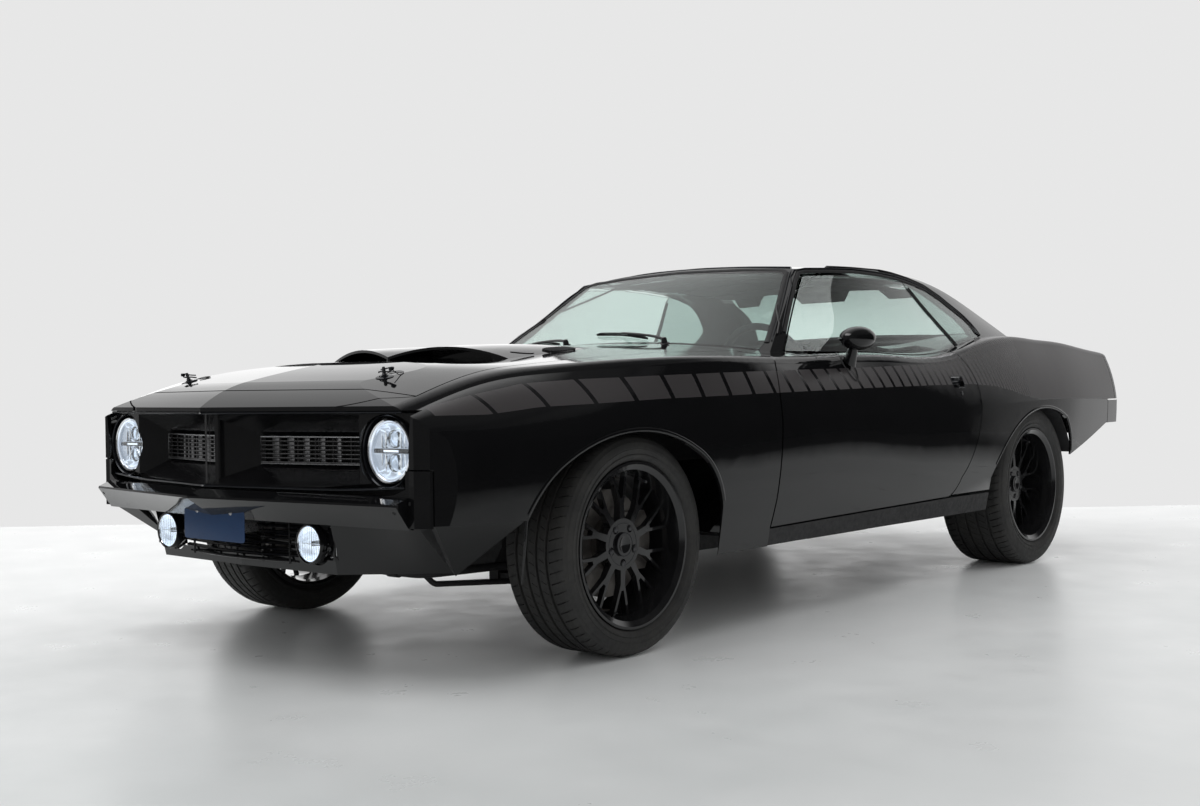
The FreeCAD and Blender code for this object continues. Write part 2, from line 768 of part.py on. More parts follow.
def floor_structure():
    """Floor with its tunnel and step, sills, rails below the floor and the rear wheelhouses."""
    half = SILL_INNER_X
    pan = box(-half, half, -628, 846, FLOOR_Z, FLOOR_Z + FLOOR_T)
    rear = side_prism(REAR_FLOOR, -590, 590)
    hollow = box(-TUNNEL_HALF + 2, TUNNEL_HALF - 2, -700, 1090, 200, FLOOR_Z + 95)
    hollow = hollow.fuse(box(-60, 60, 800, 1076, 300, 500))
    parts = [pan.cut(hollow), rear.cut(hollow), tunnel_arch(-628, 1084)]
    sill = OUTER.common(side_prism([(-757, 272), (-757, 328), (505, 345), (868, 345), (868, 272)],
                                   half, 1000))
    inner_sill = box(half - 40, half, -628, 868, FLOOR_Z, 420)
    rail = side_prism([(-2088, 385), (-2088, 455), (-940, 455), (-690, FLOOR_Z), (846, FLOOR_Z),
                       (846, 205), (-730, 205), (-980, 385)], 385, 455)
    rear_rail = side_prism([(650, 205), (650, FLOOR_Z), (850, FLOOR_Z), (1080, 520), (1620, 520), (1700, 560),
                            (2250, 560), (2250, 490), (1725, 490), (1645, 450), (1105, 450), (885, 205)],
                           430, 500)
    for side in (sill, inner_sill, rail, rear_rail, wheelhouse_rear()):
        parts += [side, mirrored(side)]
    return fused(parts)


LINER_R = 402.0
LINER_T = 8.0
LINER_INNER_X = 466.0


def half_arch(radius_in, radius_out, x0, x1, axle_y, axle_z, low_z):
    ring = cylinder(radius_out, x1 - x0, V(x0, axle_y, axle_z), V(1, 0, 0))
    ring = ring.cut(cylinder(radius_in, x1 - x0, V(x0, axle_y, axle_z), V(1, 0, 0)))
    return ring.common(box(x0, x1, axle_y - 600, axle_y + 600, low_z, axle_z + 600))


def front_inner_structure():
    """Wheel liners, engine-bay aprons and the radiator support, welded into one piece."""
    x_out = HOOD_HALF - 2
    liner = half_arch(LINER_R, LINER_R + LINER_T, LINER_INNER_X, x_out, FRONT_AXLE_Y, FRONT_TYRE_R, 400)
    wall = cylinder(LINER_R + LINER_T, LINER_T, V(LINER_INNER_X, FRONT_AXLE_Y, FRONT_TYRE_R), V(1, 0, 0))
    wall = wall.common(box(0, 1000, -2000, -900, 462, 800))
    wall = wall.cut(box(400, 500, FRONT_AXLE_Y - 116, FRONT_AXLE_Y + 116, 440, 500))
    apron = side_prism([(-2075, 560), (-2075, 758), (-1830, 806), (-1414, 844), (-668, 882), (-668, 560)],
                       x_out - 8, x_out)
    apron = apron.cut(cylinder(LINER_R + 1, 400, V(500, FRONT_AXLE_Y, FRONT_TYRE_R), V(1, 0, 0)))
    support = front_prism([(-x_out, 470), (-x_out, 735), (x_out, 735), (x_out, 470), (430, 400), (-430, 400)],
                          -2098, -2090)
    support = support.cut(front_prism([(-330, 450), (-330, 700), (330, 700), (330, 450)], -2200, -2000))
    for side in (1, -1):
        support = support.cut(cylinder(104, 200, V(side * 646, -2250, 640), V(0, 1, 0)))
    radiator = box(-345, 345, -2090, -2045, 430, 712)
    parts = [support, radiator]
    for half in (liner, wall, apron):
        parts += [half, mirrored(half)]
    return fused(parts)


def cowl():
    """Cowl top under the windshield, the firewall and the two hinge posts."""
    edge = HOOD_REAR_Y + 7
    outline = [(-700, edge), (700, edge), (700, -634), (DOOR_INNER_X - 8, -634), (DOOR_INNER_X - 8, -400),
               (-DOOR_INNER_X + 8, -400), (-DOOR_INNER_X + 8, -634), (-700, -634)]
    top = SHELL.common(plan_prism(outline, 860, 1100))
    opening = plan_prism([(-600, -440), (600, -440), (540, -380), (-540, -380)], 860, 1100)
    top = top.cut(opening)
    half_wall = [(60, 536), (130, 500), (190, 345), (230, 290), (SILL_INNER_X - 6, 290),
                 (SILL_INNER_X - 6, 880), (640, 920)]
    whole_wall = [(-x, z) for x, z in reversed(half_wall)] + half_wall
    firewall = front_prism(whole_wall, -642, -630)
    firewall = firewall.common(INNER)
    post = box(SILL_INNER_X - 40, SILL_INNER_X, -630, -540, 422, 885)
    return fused([top, firewall, post, mirrored(post)])


def wheelhouse_rear():
    """Tub over one rear wheel, welded to the trunk floor."""
    x0 = 588.0
    tub = half_arch(REAR_TYRE_R + 40, REAR_TYRE_R + 48, x0, 930, REAR_AXLE_Y, REAR_TYRE_R, 480)
    tub = tub.common(INNER)
    wall = cylinder(REAR_TYRE_R + 48, 8, V(x0, REAR_AXLE_Y, REAR_TYRE_R), V(1, 0, 0))
    wall = wall.common(box(0, 1000, 0, 3000, 480, 900))
    return fused([tub, wall])


# ---------------------------------------------------------------- running gear
RIM_R = 238.0
SPOKES = 10
LUG_HOLES = 5


def spoke_pair():
    """One spoke that leaves the hub single and forks into two on its way to the barrel."""
    outer = RIM_R - 18
    spread = outer * math.tan(math.radians(90.0 / SPOKES)) * 0.98
    stem = prism([V(-60, -12, 56), V(-60, 12, 56), V(-60, 9, 140), V(-60, -9, 140)], V(80, 0, 0))
    arms = []
    for side in (1, -1):
        arm = prism([V(-60, side * -1, 118), V(-60, side * 9, 118), V(-60, side * (spread + 5), outer),
                     V(-60, side * (spread - 5), outer)], V(80, 0, 0))
        arms.append(arm)
    return fused([stem] + arms).common(spoke_profile())


def spoke_profile():
    """Ring about X that holds the spokes: the face falls away from the hub, the back is undercut."""
    edges = [
        line(V(-26, 0, 50), V(0, 0, 50)), line(V(0, 0, 50), V(0, 0, 76)),
        arc(V(0, 0, 76), V(-4, 0, 150), V(-14, 0, RIM_R)), line(V(-14, 0, RIM_R), V(-34, 0, RIM_R)),
        arc(V(-34, 0, RIM_R), V(-24, 0, 150), V(-26, 0, 76)), line(V(-26, 0, 76), V(-26, 0, 50)),
    ]
    return Part.Face(Part.Wire(edges)).revolve(V(0, 0, 0), V(1, 0, 0), 360)


def wheel_rim(width, dish_depth):
    """Deep-dish rim with ten forked spokes set dish_depth inside its lip; the outer face looks to +X."""
    half = width / 2.0
    axle = V(0, 0, 0)
    r = RIM_R
    profile = [(-half + 9, r), (-half + 9, r + 12), (-half + 17, r + 12), (-half + 20, r),
               (-half + 50, r - 4), (-20, r - 14), (half - 60, r - 10), (half - 24, r - 2),
               (half - 20, r), (half - 17, r + 12),
               (half - 9, r + 12), (half - 9, r + 4), (half - 20, r - 12), (half - 60, r - 21),
               (-20, r - 25), (-half + 44, r - 15), (-half + 12, r - 11)]
    face = Part.Face(Part.makePolygon([V(x, 0, z) for x, z in profile + profile[:1]]))
    barrel = face.revolve(axle, V(1, 0, 0), 360)
    dish = half - 9 - dish_depth
    hub = cylinder(78, 26, V(dish - 26, 0, 0), V(1, 0, 0))
    bore = cylinder(33, 18, V(dish - 28, 0, 0), V(1, 0, 0))
    cap = cylinder(36, 20, V(dish - 12, 0, 0), V(1, 0, 0))
    cap = cap.cut(Part.makeSphere(60, V(dish + 62, 0, 0)))
    hub = hub.cut(bore).fuse(cap)
    for index in range(LUG_HOLES):
        a = math.radians(36 + 360.0 / LUG_HOLES * index)
        at = V(dish - 44, 57 * math.sin(a), 57 * math.cos(a))
        hub = hub.cut(cylinder(9, 60, at, V(1, 0, 0))).cut(cylinder(13, 20, at + V(34, 0, 0), V(1, 0, 0)))
    spokes = []
    for index in range(SPOKES):
        spoke = spoke_pair()
        spoke.translate(V(dish, 0, 0))
        spoke.rotate(axle, V(1, 0, 0), 360.0 / SPOKES * index)
        spokes.append(spoke)
    return fused([barrel, hub] + spokes)


def tyre(width, radius):
    half = width / 2.0
    r = RIM_R

    def p(x, z):
        return V(x, 0, z)
    a, b, c, d = p(-half + 21, r + 0.5), p(-half + 21, r + 13), p(-half, r + 46), p(-half + 14, radius - 14)
    e = p(-half + 34, radius)
    f, g, h, i, j = [p(-v.x, v.z) for v in (e, d, c, b, a)]
    edges = [
        line(a, b), arc(b, p(-half + 8, r + 22), c), arc(c, p(-half + 3, r + 68), d),
        arc(d, p(-half + 21, radius - 4), e), line(e, f),
        arc(f, p(half - 21, radius - 4), g), arc(g, p(half - 3, r + 68), h),
        arc(h, p(half - 8, r + 22), i), line(i, j), line(j, a),
    ]
    return Part.Face(Part.Wire(edges)).revolve(V(0, 0, 0), V(1, 0, 0), 360)


WHEELS = [
    # name, side, wheel centre x, axle y, tyre radius, tyre width, depth of the dish
    ("left_front", 1, FRONT_WHEEL_X, FRONT_AXLE_Y, FRONT_TYRE_R, FRONT_TYRE_W, 50),
    ("right_front", -1, FRONT_WHEEL_X, FRONT_AXLE_Y, FRONT_TYRE_R, FRONT_TYRE_W, 50),
    ("left_rear", 1, REAR_WHEEL_X, REAR_AXLE_Y, REAR_TYRE_R, REAR_TYRE_W, 86),
    ("right_rear", -1, REAR_WHEEL_X, REAR_AXLE_Y, REAR_TYRE_R, REAR_TYRE_W, 86),
]


def placed(shape, side, x, y, z):
    """A left-hand piece at the hub, or its mirror image on the right."""
    shape = shape.copy()
    shape.translate(V(x, y, z))
    return shape if side > 0 else mirrored(shape)


def left_knuckle():
    """Upright with hub, brake disc and caliper; the tie rod eye points forward."""
    y, z = FRONT_AXLE_Y, FRONT_TYRE_R
    post = cylinder(26, 236, V(KINGPIN_X, y, z - 112), V(0, 0, 1))
    neck = cylinder(44, 62, V(KINGPIN_X - 6, y, z), V(1, 0, 0))
    disc = cylinder(163, 26, V(746, y, z), V(1, 0, 0))
    hat = cylinder(80, 22, V(772, y, z), V(1, 0, 0))
    pilot = cylinder(31, 20, V(794, y, z), V(1, 0, 0))
    caliper = cylinder(180, 60, V(729, y, z), V(1, 0, 0)).cut(cylinder(100, 60, V(729, y, z), V(1, 0, 0)))
    caliper = caliper.common(box(700, 820, y + 60, y + 190, z - 90, z + 90))
    arm = box(KINGPIN_X - 12, KINGPIN_X + 12, y - 150, y, z - 70, z - 46)
    bracket = box(KINGPIN_X - 10, 740, y + 10, y + 110, z - 24, z + 24)
    return fused([post, neck, disc, hat, pilot, caliper, arm, bracket])


def front_suspension():
    """Cross member with the lower arms, strut rods and anti-roll bar, and two upper arms."""
    y, z = FRONT_AXLE_Y, FRONT_TYRE_R
    member = front_prism([(-378, 300), (-330, 225), (330, 225), (378, 300), (378, 400), (350, 400),
                          (290, 280), (-290, 280), (-350, 400), (-378, 400)], y - 60, y + 60)
    low = z - 112 - 6
    lower = plan_prism([(320, y - 34), (KINGPIN_X - 22, y - 20), (KINGPIN_X - 22, y + 20), (320, y + 34)],
                       low - 24, low)
    boss = box(300, 340, y - 40, y + 40, low - 24, 240)
    cup = cylinder(30, 24, V(KINGPIN_X, y, low - 24), V(0, 0, 1))
    strut = tube([V(520, y, low - 12), V(410, y - 380, low + 8), V(385, y - 420, low + 60)], 9, 30)
    arms = fused([member, lower, boss, cup, strut] + [mirrored(v) for v in (lower, boss, cup, strut)])
    bar = tube([V(-480, y - 90, low + 44), V(-425, y - 440, low + 44), V(425, y - 440, low + 44),
                V(480, y - 90, low + 44)], 13, 60)
    bar = bar.fuse([cylinder(17, 44, V(side * 300 - 22, y - 440, low + 44), V(1, 0, 0)) for side in (1, -1)])
    high = z + 124 + 6
    upper = plan_prism([(372, y - 110), (KINGPIN_X - 20, y - 18), (KINGPIN_X - 20, y + 18), (372, y + 110),
                        (372, y + 80), (600, y), (372, y - 80)], high, high + 18)
    upper = upper.fuse(cylinder(28, 18, V(KINGPIN_X, y, high), V(0, 0, 1)))
    return Part.makeCompound([arms, bar, upper, mirrored(upper)])


def rear_axle():
    y, z = REAR_AXLE_Y, REAR_TYRE_R
    tube_half = cylinder(39, 600, V(0, y, z), V(1, 0, 0))
    drum = cylinder(150, 70, V(600, y, z), V(1, 0, 0))
    pilot = cylinder(31, 136, V(670, y, z), V(1, 0, 0))
    bowl = Part.makeSphere(140, V(0, y, z)).common(box(-110, 110, y - 140, y + 120, z - 140, z + 140))
    nose = Part.makeCone(55, 90, 120, V(0, y - 240, z + 4), V(0, 1, 0))
    shaft = cylinder(36, 1040, V(0, y - 1280, z + 20), V(0, 1, 0))
    ends = [tube_half, drum, pilot]
    return fused([bowl, nose, shaft] + ends + [mirrored(end) for end in ends])


def leaf_springs():
    """Leaf packs under the axle, flat eye to eye with a gentle camber."""
    x = 542.0
    y0, y1 = REAR_AXLE_Y - 560, REAR_AXLE_Y + 720
    z_front, z_mid, z_rear = 262.0, 292.0, 420.0

    def p(y, z):
        return V(x - 32, y, z)
    edges = [
        arc(p(y0, z_front), p(REAR_AXLE_Y, z_mid), p(y1, z_rear)), line(p(y1, z_rear), p(y1, z_rear - 18)),
        arc(p(y1, z_rear - 18), p(REAR_AXLE_Y, z_mid - 34), p(y0, z_front - 18)),
        line(p(y0, z_front - 18), p(y0, z_front)),
    ]
    leaf = side_face(edges).extrude(V(64, 0, 0))
    plate = box(x - 50, x + 50, REAR_AXLE_Y - 55, REAR_AXLE_Y + 55, z_mid - 46, z_mid - 34)
    return both(leaf.fuse(plate))


def engine_and_gearbox():
    block = front_prism([(-150, 300), (-250, 560), (-300, 800), (-120, 840), (120, 840), (300, 800),
                         (250, 560), (150, 300)], -1740, -1010)
    bell = Part.makeCone(200, 120, 190, V(0, -1010, 430), V(0, 1, 0))
    gearbox = Part.makeCone(112, 70, 700, V(0, -820, 400), V(0, 1, 0))
    return fused([block, bell, gearbox])


PIPE_R = 28.0
PIPE_Z = 206.0


def exhaust():
    """Twin pipes under the floor, each with a silencer and an open tailpipe."""
    pipes = []
    for side in (1, -1):
        x = side * 250
        pipe = tube([V(x, -1100, 300), V(x, -760, PIPE_Z), V(x, 520, PIPE_Z)], PIPE_R, 120)
        silencer = cylinder(64, 470, V(x, 510, PIPE_Z), V(0, 1, 0))
        tail = tube([V(x, 970, PIPE_Z), V(x, 1130, PIPE_Z), V(side * 340, 1480, PIPE_Z),
                     V(side * 400, 1800, 262), V(side * 400, 2336, 262)], PIPE_R, 90)
        bore = cylinder(PIPE_R - 3, 120, V(side * 400, 2230, 262), V(0, 1, 0))
        pipes.append(fused([pipe, silencer, tail]).cut(bore))
    return Part.makeCompound(pipes)


def fuel_tank():
    tank = box(-360, 360, 1720, 2180, 330, 478)
    edges = [e for e in tank.Edges if abs(e.Vertexes[0].Z - e.Vertexes[1].Z) < 1]
    return tank.makeFillet(30, edges)


# ---------------------------------------------------------------- cabin
SEAT_X = 388.0
SEAT_W = 490.0


def front_seats():
    """Two buckets, each a cushion and a backrest in one piece."""
    def p(y, z):
        return V(SEAT_X - SEAT_W / 2, y, z)
    cushion = side_face([line(p(60, 330), p(60, 470)), arc(p(60, 470), p(80, 505), p(130, 515)),
                         line(p(130, 515), p(500, 470)), line(p(500, 470), p(540, 330)),
                         line(p(540, 330), p(60, 330))]).extrude(V(SEAT_W, 0, 0))
    back = side_face([line(p(545, 340), p(504, 470)), line(p(504, 470), p(670, 930)),
                      arc(p(670, 930), p(712, 955), p(738, 925)), line(p(738, 925), p(610, 400)),
                      line(p(610, 400), p(545, 340))]).extrude(V(SEAT_W, 0, 0))
    foot = box(SEAT_X - 190, SEAT_X + 190, 110, 490, FLOOR_Z + FLOOR_T, 332)
    return both(fused([cushion, back, foot]))


def rear_seat():
    def p(y, z):
        return V(-560, y, z)
    outline = [line(p(880, 345), p(880, 500)), arc(p(880, 500), p(896, 528), p(940, 536)),
               line(p(940, 536), p(1170, 590)), line(p(1170, 590), p(1330, 930)),
               arc(p(1330, 930), p(1370, 960), p(1400, 930)), line(p(1400, 930), p(1310, 537)),
               line(p(1310, 537), p(1076, 537)), line(p(1076, 537), p(880, 345))]
    bench = side_face(outline).extrude(V(1120, 0, 0))
    return bench.cut(box(-TUNNEL_HALF - 8, TUNNEL_HALF + 8, 860, 1088, 300, 538))


def dashboard():
    def p(y, z):
        return V(-740, y, z)
    outline = [line(p(-420, 700), p(-420, 890)), arc(p(-420, 890), p(-300, 905), p(-190, 880)),
               arc(p(-190, 880), p(-165, 860), p(-180, 830)), line(p(-180, 830), p(-240, 680)),
               line(p(-240, 680), p(-420, 700))]
    body = side_face(outline).extrude(V(1480, 0, 0))
    return body


COLUMN_TOP = V(370, 40, 860)
COLUMN_TILT = 22.0


def column_axis():
    a = math.radians(COLUMN_TILT)
    return V(0, math.cos(a), math.sin(a))


def steering_wheel():
    axis = column_axis()
    ring = Part.makeTorus(190, 14, COLUMN_TOP, axis)
    hub = cylinder(36, 60, COLUMN_TOP - axis * 70, axis)
    parts = [ring, hub]
    side = V(1, 0, 0)
    up = axis.cross(side) * -1.0
    for angle in (0, 90, 180):
        a = math.radians(angle)
        out = side * math.cos(a) - up * math.sin(a)
        across = axis.cross(out)
        w = 12
        c0 = COLUMN_TOP - axis * 40 + out * 20
        c1 = COLUMN_TOP + out * 184
        spoke = loft([Part.makePolygon([c + across * w, c - across * w, c - across * w + axis * 7,
                                        c + across * w + axis * 7, c + across * w]) for c in (c0, c1)], True)
        parts.append(spoke)
    return fused(parts)


def left_mirror():
    """Bullet-shaped door mirror on a tapered foot."""
    centre = V(938, -212, 969)
    half_width, length, half_height = 61, 80, 43

    def section(along):
        middle = centre + V(0, along, 0)
        size = math.sqrt(1 - (along / length) ** 2)
        side, top = V(half_width * size, 0, 0), V(0, 0, half_height * size)
        return Part.Wire(Part.Ellipse(middle + side, middle + top, middle).toShape())
    shell = loft([section(along) for along in (-79, -72, -56, -30, 0, 34)])
    foot = loft([Part.Wire(Part.makeCircle(27, V(885.4, -182, 881.7), V(0.6, 0, 0.75))),
                 Part.Wire(Part.makeCircle(14, V(922, -204, 952), V(0.5, 0, 0.8)))], True)
    return shell.fuse(foot)


# ---------------------------------------------------------------- all pieces
def build():
    pieces = {}
    fender = left_front_fender()
    quarter = left_quarter_panel()
    door = left_door()
    shell = glass_shell()
    pane = door_glass(shell)
    knuckle = left_knuckle()
    pieces["left_front_fender"] = fender
    pieces["right_front_fender"] = mirrored(fender)
    pieces["header_panel"] = header_panel()
    pieces["hood"] = hood_panel()
    pieces["front_valance"] = front_valance()
    pieces["front_bumper"] = front_bumper()
    pieces["front_lamps"] = front_lamps()
    pieces["grille"] = grille()
    pieces["left_door"] = door
    pieces["right_door"] = mirrored(door)
    pieces["left_quarter_panel"] = quarter
    pieces["right_quarter_panel"] = mirrored(quarter)
    pieces["rear_deck"] = rear_deck()
    pieces["trunk_lid"] = trunk_lid()
    pieces["tail_panel"] = tail_panel()
    pieces["tail_lamps"] = tail_lamps()
    pieces["rear_bumper"] = rear_bumper()
    pieces["roof"] = roof()
    quarter_pane = quarter_glass(shell)
    pieces["fixed_glass"] = Part.makeCompound([windshield(shell), rear_window(shell), quarter_pane,
                                               mirrored(quarter_pane)])
    pieces["left_door_glass"] = pane
    pieces["right_door_glass"] = mirrored(pane)
    pieces["floor_structure"] = floor_structure()
    pieces["front_inner_structure"] = front_inner_structure()
    pieces["cowl"] = cowl()
    pieces["left_knuckle"] = knuckle
    pieces["right_knuckle"] = mirrored(knuckle)
    pieces["front_suspension"] = front_suspension()
    pieces["rear_axle"] = rear_axle()
    pieces["leaf_springs"] = leaf_springs()
    pieces["engine_and_gearbox"] = engine_and_gearbox()
    pieces["exhaust"] = exhaust()
    pieces["fuel_tank"] = fuel_tank()
    pieces["front_seats"] = front_seats()
    pieces["rear_seat"] = rear_seat()
    pieces["dashboard"] = dashboard()
    pieces["steering_wheel"] = steering_wheel()
    pieces["left_mirror"] = left_mirror()
    for name, side, x, y, radius, width, dish_depth in WHEELS:
        pieces[name + "_wheel"] = placed(wheel_rim(width, dish_depth), side, x, y, radius)
        pieces[name + "_tyre"] = placed(tyre(width, radius), side, x, y, radius)
    return pieces


os.makedirs("parts", exist_ok=True)
for name, shape in build().items():
    shape.exportStep("parts/" + name + ".step")
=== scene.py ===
import math

import bmesh
import bpy
from mathutils import Matrix, Vector
from mathutils.bvhtree import BVHTree


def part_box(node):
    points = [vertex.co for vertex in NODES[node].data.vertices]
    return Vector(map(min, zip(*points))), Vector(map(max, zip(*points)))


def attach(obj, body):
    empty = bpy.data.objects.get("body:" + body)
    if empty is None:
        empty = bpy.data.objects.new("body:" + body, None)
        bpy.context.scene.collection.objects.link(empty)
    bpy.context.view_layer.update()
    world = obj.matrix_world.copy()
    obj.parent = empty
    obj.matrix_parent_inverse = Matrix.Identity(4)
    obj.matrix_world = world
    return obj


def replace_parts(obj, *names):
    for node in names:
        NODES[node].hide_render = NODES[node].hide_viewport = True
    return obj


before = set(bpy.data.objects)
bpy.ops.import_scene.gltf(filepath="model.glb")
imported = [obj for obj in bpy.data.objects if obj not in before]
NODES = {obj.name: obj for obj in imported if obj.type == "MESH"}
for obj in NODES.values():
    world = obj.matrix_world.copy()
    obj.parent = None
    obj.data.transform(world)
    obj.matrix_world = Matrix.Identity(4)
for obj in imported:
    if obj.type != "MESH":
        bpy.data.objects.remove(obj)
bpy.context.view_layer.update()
PI = math.pi
UP, DOWN, REARWARD = (0, 0, 1), (0, 0, -1), (0, 1, 0)
WHITE = (1.0, 1.0, 1.0, 1.0)
# the factor on x that puts a thing on that side of the car
SIDES = {1: "left", -1: "right"}


def vec(*parts):
    return Vector(parts)


def turns(count):
    """Angles that part a full circle evenly."""
    return [2 * PI * k / count for k in range(count)]


def rows_of(width, values):
    """Millimetres to rows of metres, each rounded to what it would be if written out."""
    return [tuple(round(v / 1000, 7) for v in values[i:i + width])
            for i in range(0, len(values), width)]


def pairs(*values):
    return rows_of(2, values)


def triples(*values):
    return rows_of(3, values)


def sided(side, *values):
    """Points given for the left side of the car, on either side."""
    return [(side * x, y, z) for x, y, z in triples(*values)]


# ---------------------------------------------------------------- node materials
def socket(tree, node, name, value):
    if isinstance(value, bpy.types.NodeSocket):
        tree.links.new(value, node.inputs[name])
    else:
        node.inputs[name].default_value = value


def math_node(tree, operation, a, b=0.0, c=0.0):
    node = tree.nodes.new("ShaderNodeMath")
    node.operation = operation
    for index, value in enumerate((a, b, c)):
        socket(tree, node, index, value)
    return node.outputs[0]


def spread(tree, value, low, high, to_low, to_high):
    node = tree.nodes.new("ShaderNodeMapRange")
    for index, v in enumerate((value, low, high, to_low, to_high)):
        socket(tree, node, index, v)
    return node.outputs[0]


def mixed(tree, factor, a, b):
    node = tree.nodes.new("ShaderNodeMix")
    node.data_type = "RGBA"
    socket(tree, node, 0, factor)
    for index, value in ((6, a), (7, b)):
        if isinstance(value, tuple):
            node.inputs[index].default_value = (*value, 1.0)
        else:
            tree.links.new(value, node.inputs[index])
    return node.outputs[2]


def product(tree, first, *others):
    for value in others:
        first = math_node(tree, "MULTIPLY", first, value)
    return first


def axes(tree, space="Object"):
    """X, Y and Z of the shaded point."""
    split = tree.nodes.new("ShaderNodeSeparateXYZ")
    tree.links.new(tree.nodes.new("ShaderNodeTexCoord").outputs[space], split.inputs[0])
    return tuple(split.outputs)


def flat_radius(tree, x, y):
    """Distance from the upright axis through the origin."""
    squares = [math_node(tree, "POWER", value, 2.0) for value in (x, y)]
    return math_node(tree, "POWER", math_node(tree, "ADD", *squares), 0.5)


def new_look(name):
    """A new material with its node tree and its shader."""
    made = bpy.data.materials.new(name)
    made.use_nodes = True
    return made, made.node_tree, made.node_tree.nodes["Principled BSDF"]


def noise(tree, scale, detail=3.0, rough=0.5):
    coords = tree.nodes.new("ShaderNodeTexCoord").outputs["Object"]
    node = tree.nodes.new("ShaderNodeTexNoise")
    for name, value in (("Vector", coords), ("Scale", scale), ("Detail", detail), ("Roughness", rough)):
        socket(tree, node, name, value)
    return node.outputs["Fac"]


def bumped(tree, shader, height, strength, distance=0.001):
    node = tree.nodes.new("ShaderNodeBump")
    node.inputs["Strength"].default_value = strength
    node.inputs["Distance"].default_value = distance
    socket(tree, node, "Height", height)
    socket(tree, shader, "Normal", node.outputs[0])


def material(name, colour, rough, metal=0.0, other=None, patch=6.0, rough_to=None, grain=900.0,
             bump=0.1, depth=0.0003, coat=0.0, coat_rough=0.03, glow=None, **sockets):
    """A surface with slow colour and roughness patches and a fine bumped grain."""
    made, tree, shader = new_look(name)
    shader.inputs["Metallic"].default_value = metal
    shader.inputs["Coat Weight"].default_value = coat
    shader.inputs["Coat Roughness"].default_value = coat_rough
    other = other or tuple(min(1.0, c * 1.35 + 0.002) for c in colour)
    patches = spread(tree, noise(tree, patch, 4.0, 0.6), 0.35, 0.7, 0.0, 1.0)
    socket(tree, shader, "Base Color", mixed(tree, patches, colour, other))
    rough_to = rough_to if rough_to is not None else min(1.0, rough * 1.3 + 0.02)
    speckle = noise(tree, patch * 7.0, 5.0, 0.65)
    socket(tree, shader, "Roughness", spread(tree, speckle, 0.3, 0.75, rough, rough_to))
    if bump:
        bumped(tree, shader, noise(tree, grain, 2.0, 0.5), bump, depth)
    if glow:
        shader.inputs["Emission Color"].default_value = (*glow[:3], 1.0)
        shader.inputs["Emission Strength"].default_value = glow[3]
    for key, value in sockets.items():
        shader.inputs[key.replace("_", " ")].default_value = value
    made.diffuse_color = (*colour, 1.0)
    return made


def glass(name, colour):
    made, tree, shader = new_look(name)
    shader.inputs["Base Color"].default_value = (*colour, 1.0)
    shader.inputs["Transmission Weight"].default_value = 1.0
    shader.inputs["IOR"].default_value = 1.45
    smears = noise(tree, 9.0, 5.0, 0.7)
    socket(tree, shader, "Roughness", spread(tree, smears, 0.45, 0.8, 0.0, 0.03))
    return made


def curve_of(tree, value, points, low, high):
    """Value in metres along the car, mapped through points to a height in metres."""
    node = tree.nodes.new("ShaderNodeFloatCurve")
    tree.links.new(spread(tree, value, low, high, 0.0, 1.0), node.inputs["Value"])
    curve = node.mapping.curves[0]
    tops = [p[1] for p in points]
    base, span = min(tops), max(tops) - min(tops)
    while len(curve.points) < len(points):
        curve.points.new(0.5, 0.5)
    for point, (x, y) in zip(curve.points, points):
        point.location = ((x - low) / (high - low), (y - base) / span)
        point.handle_type = "VECTOR"
    node.mapping.update()
    return math_node(tree, "MULTIPLY_ADD", node.outputs[0], span, base)


# the charcoal side band: distance along the car, height of its top and bottom edge
BAND_TOP = pairs(-2150, 752,  -1996, 788,  -1824, 818,  -1645, 828,  -1317, 838,  -1029, 846,
                 -556, 856,  -196, 863,  32, 869,  350, 880,  600, 898,  720, 922,  860, 962,
                 1000, 992,  1150, 1020,  2400, 1020)
BAND_LOW = pairs(-2150, 735,  -1993, 735,  -1824, 752,  -1645, 757,  -1317, 768,  -1029, 773,
                 -556, 782,  -115, 790,  400, 797,  700, 799,  900, 790,  1050, 770,  1200, 742,
                 1320, 727,  1760, 725,  2400, 711)
BAND_START = -2.13
# the band lies on the flanks only, and its tables run over the whole length of the car
BAND_FLANK = 0.72
BAND_SPAN = (-2.4, 2.4)
BREAK_LEAN = -0.36
BREAKS = [-1.996, -1.824, -1.645, -1.480, -1.317, -1.170, -1.029, -0.898, -0.772, -0.662, -0.556,
          -0.461,  -0.364, -0.276, -0.196, -0.115, -0.041, 0.032]
while BREAKS[-1] < 1.22:
    BREAKS.append(BREAKS[-1] + max(0.020, 0.071 - 0.052 * BREAKS[-1]))


